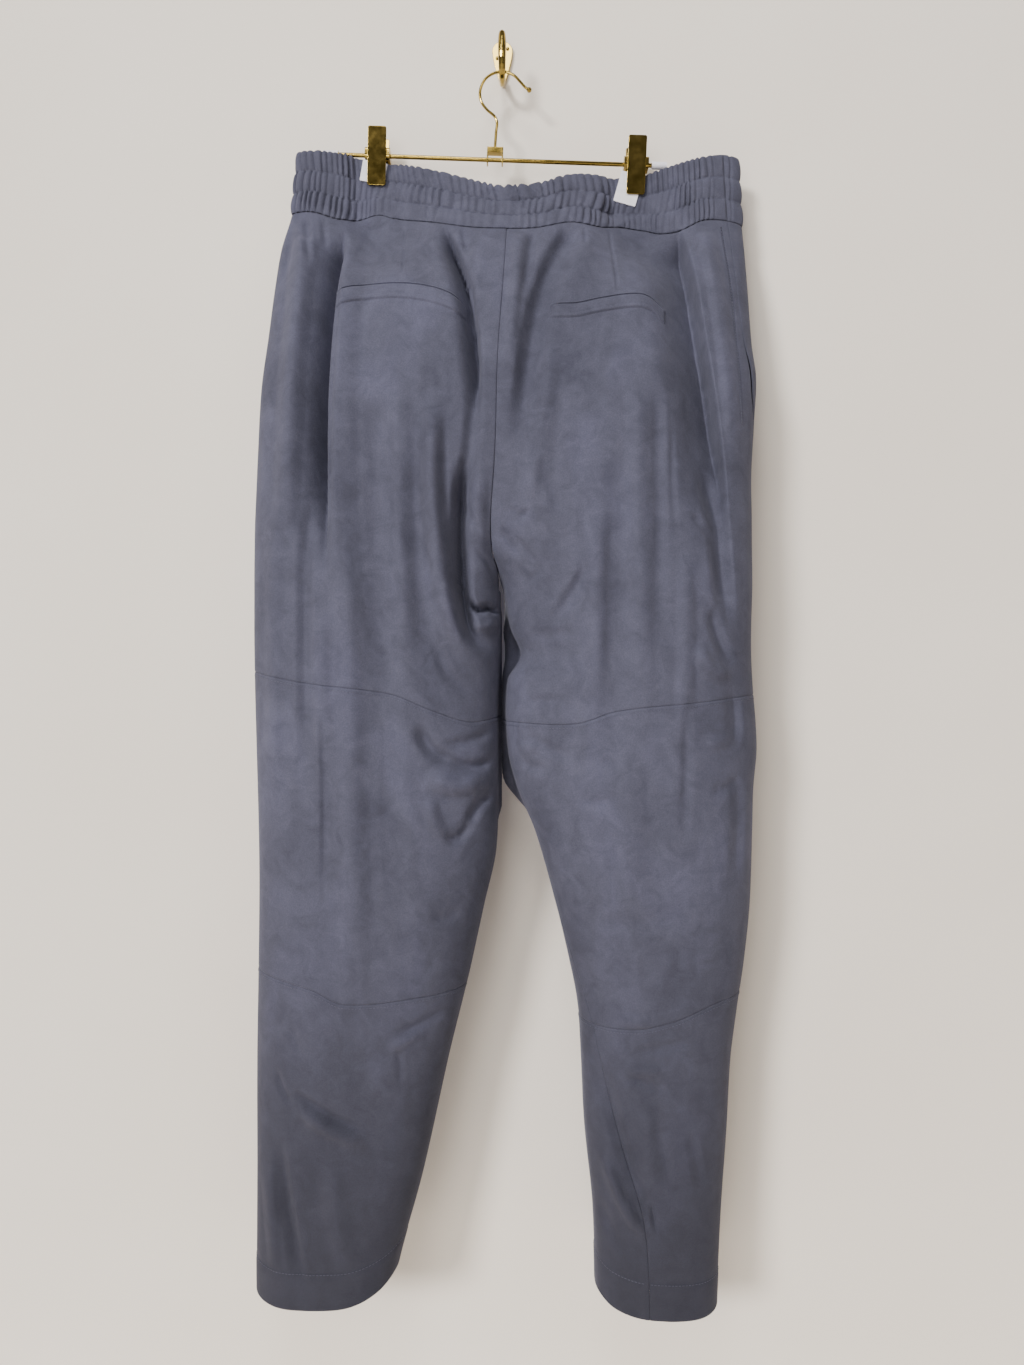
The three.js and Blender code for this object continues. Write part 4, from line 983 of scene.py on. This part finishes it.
def cloth_line(half, side, edge, offset, lift, start=0.02, end=0.98, count=150):
    """A line on a half that keeps an offset down from an edge given along x."""
    fractions = np.linspace(start, end, count)
    z = settle(edge, half, side, fractions) + offset
    low, high = panel_bounds(half, side, z)
    turn = wrap(low + (high - low) * fractions)
    x, y = cloth(half, turn, z)
    nx, ny = outward(half, turn, z)
    return np.stack([x + nx * lift, y + ny * lift, z], axis=-1)


def back_line(half, x, z, lift):
    """A line on the back through places x, z, moved out by lift."""
    x, z = np.asarray(x, float), np.asarray(z, float)
    return np.stack([x, on_back(half, x, z, lift), z], axis=-1)


def all_stitches():
    """Topstitching of the cross seams and hems, and the coarser row beside the side pocket."""
    tree = stitch_tree()
    turned = HEM_TURN_UP["height"]
    lines = []
    for half in ("left", "right"):
        for side in ("back", "front"):
            for edge, off, lift in ((THIGH_SEAM, -3.2, 0.1), (KNEE_SEAM, -3.2, 0.1), (HEM, turned, 0.25)):
                lines.append(cloth_line(half, side, edge[half], off, lift))
    sew("thread_cross_seams_and_hems", lines, tree, {"Pitch": 3.0, "Length": 1.9, "Thickness": 0.5})
    z = np.linspace(POCKET_STITCHES[-1][0], POCKET_STITCHES[0][0], 120)
    side_line = back_line("right", read(POCKET_STITCHES, z), z, 0.9)
    sew("thread_side_pocket", [side_line], tree, {"Pitch": 2.8, "Length": 1.6, "Thickness": 1.1})


def build_cloth():
    """Every sheet of suede, each with its flat width, length and area."""
    made = []
    for half in ("left", "right"):
        made += [leg_panel(half, side, tier) for side in ("back", "front") for tier in TIERS]
        made.append(welt(half))
    return made + [waistband("back"), waistband("front")]


def dress_hardware():
    """The hanger's and hook's own CAD solids stay, each in its real finish."""
    finishes = {
        ("clip_", "hanger_bar", "neck_clip", "hook_", "wall_"): GOLD_MATERIAL,
        ("bar_cap", "pad_"): PAD_MATERIAL,
    }
    for name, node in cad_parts.items():
        for starts, finish in finishes.items():
            if name.startswith(starts):
                for slot in node.material_slots:
                    slot.material = finish


def set_stage():
    """A pale wall behind the hook, seen through from behind, and a pale floor below the view."""
    material, tree, shader, place = new_material("matt_warm_white_paint")
    cloud = noise(tree, place, 300, 2.0, 0.5)
    colour = colour_ramp(tree, cloud, [(0.3, "#F0E8DE"), (0.7, "#F4EDE4")])
    tree.links.new(colour, shader.inputs["Base Color"])
    shader.inputs["Roughness"].default_value = 0.85
    clear = add(tree, "ShaderNodeBsdfTransparent")
    behind = add(tree, "ShaderNodeNewGeometry").outputs["Backfacing"]
    both = add(tree, "ShaderNodeMixShader", inputs={
        0: behind, 1: shader.outputs["BSDF"], 2: clear.outputs["BSDF"]})
    output = next(n for n in tree.nodes if n.type == "OUTPUT_MATERIAL")
    tree.links.new(both.outputs["Shader"], output.inputs["Surface"])
    reach, front, top = STAGE["reach"], STAGE["front"], STAGE["top"]
    wall, floor = STAGE["wall"], STAGE["floor"]
    sheets = {
        "stage_wall": [(-reach, wall, floor), (reach, wall, floor), (reach, wall, top), (-reach, wall, top)],
        "stage_floor": [(-reach, front, floor), (reach, front, floor), (reach, wall, floor),
                        (-reach, wall, floor)],
    }
    for name, corners in sheets.items():
        mesh = bpy.data.meshes.new(name)
        mesh.from_pydata([[c * MM for c in corner] for corner in corners], [], [(0, 1, 2, 3)])
        mesh.materials.append(material)
        sheet = link(name, mesh)
        # The wall holds back no light, so that a lamp behind it shows the trousers' front.
        sheet.visible_shadow = False


def area_light(name, place, target, size, watts):
    """A soft round lamp at a place, turned to a target, both in metres."""
    data = bpy.data.lights.new(name, "AREA")
    data.shape = "DISK"
    data.size = size
    data.energy = watts
    data.color = linear(LAMP_WHITE)[:3]
    lamp = link(name, data)
    lamp.location = place
    lamp.rotation_euler = (Vector(target) - Vector(place)).to_track_quat("-Z", "Y").to_euler()


def sun_light(name, towards, spread, strength):
    """A far soft light from a direction, its disk a spread of degrees wide."""
    data = bpy.data.lights.new(name, "SUN")
    data.angle = math.radians(spread)
    data.energy = strength
    data.color = linear(LAMP_WHITE)[:3]
    lamp = link(name, data)
    lamp.location = towards
    lamp.rotation_euler = Vector(towards).to_track_quat("Z", "Y").to_euler()


def set_light():
    """A large soft light from the left, weak ones that fill in, and a brighter sky above."""
    sun_light("key_from_left", (-0.72, -1.0, 0.42), 13, 2.95)
    sun_light("fill_from_right", (0.8, -1.0, 0.3), 24, 0.18)
    area_light("lamp_above_front", (-0.2, -1.3, 0.95), (0, 0, -0.3), 0.6, 13)
    area_light("lamp_behind", (-0.6, 1.7, 0.3), (0, 0, -0.5), 1.0, 50)
    area_light("lamp_front", (-0.35, -1.4, -0.35), (0, 0, -0.4), 0.6, 7)
    world = bpy.data.worlds.new("studio_dim_below_bright_above")
    world.use_nodes = True
    tree = world.node_tree
    direction = add(tree, "ShaderNodeTexCoord").outputs["Generated"]
    height = add(tree, "ShaderNodeSeparateXYZ", inputs={"Vector": direction}).outputs["Z"]
    strength = add(tree, "ShaderNodeMapRange", inputs={
        "Value": height, "From Min": -0.2, "From Max": 0.7, "To Min": 0.035, "To Max": 0.26})
    background = tree.nodes["Background"]
    background.inputs["Color"].default_value = linear("#EEEBE8")
    tree.links.new(strength.outputs["Result"], background.inputs["Strength"])
    bpy.context.scene.world = world


def set_camera():
    """The camera of the photograph's view, level and square to the wall."""
    data = bpy.data.cameras.new("camera")
    data.lens = CAMERA["lens"]
    data.sensor_width = 36.0
    camera = link("camera", data)
    camera.location = [CAMERA[axis] * MM for axis in "xyz"]
    camera.rotation_euler = (math.radians(90), 0, 0)
    bpy.context.scene.camera = camera


# Each sheet's width, length and area are measured along its own cloth, the waistband's with its gathers, and
# nothing uses them.
for piece, (width, length, area) in build_cloth():
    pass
all_stitches()
dress_hardware()
set_stage()
set_light()
set_camera()
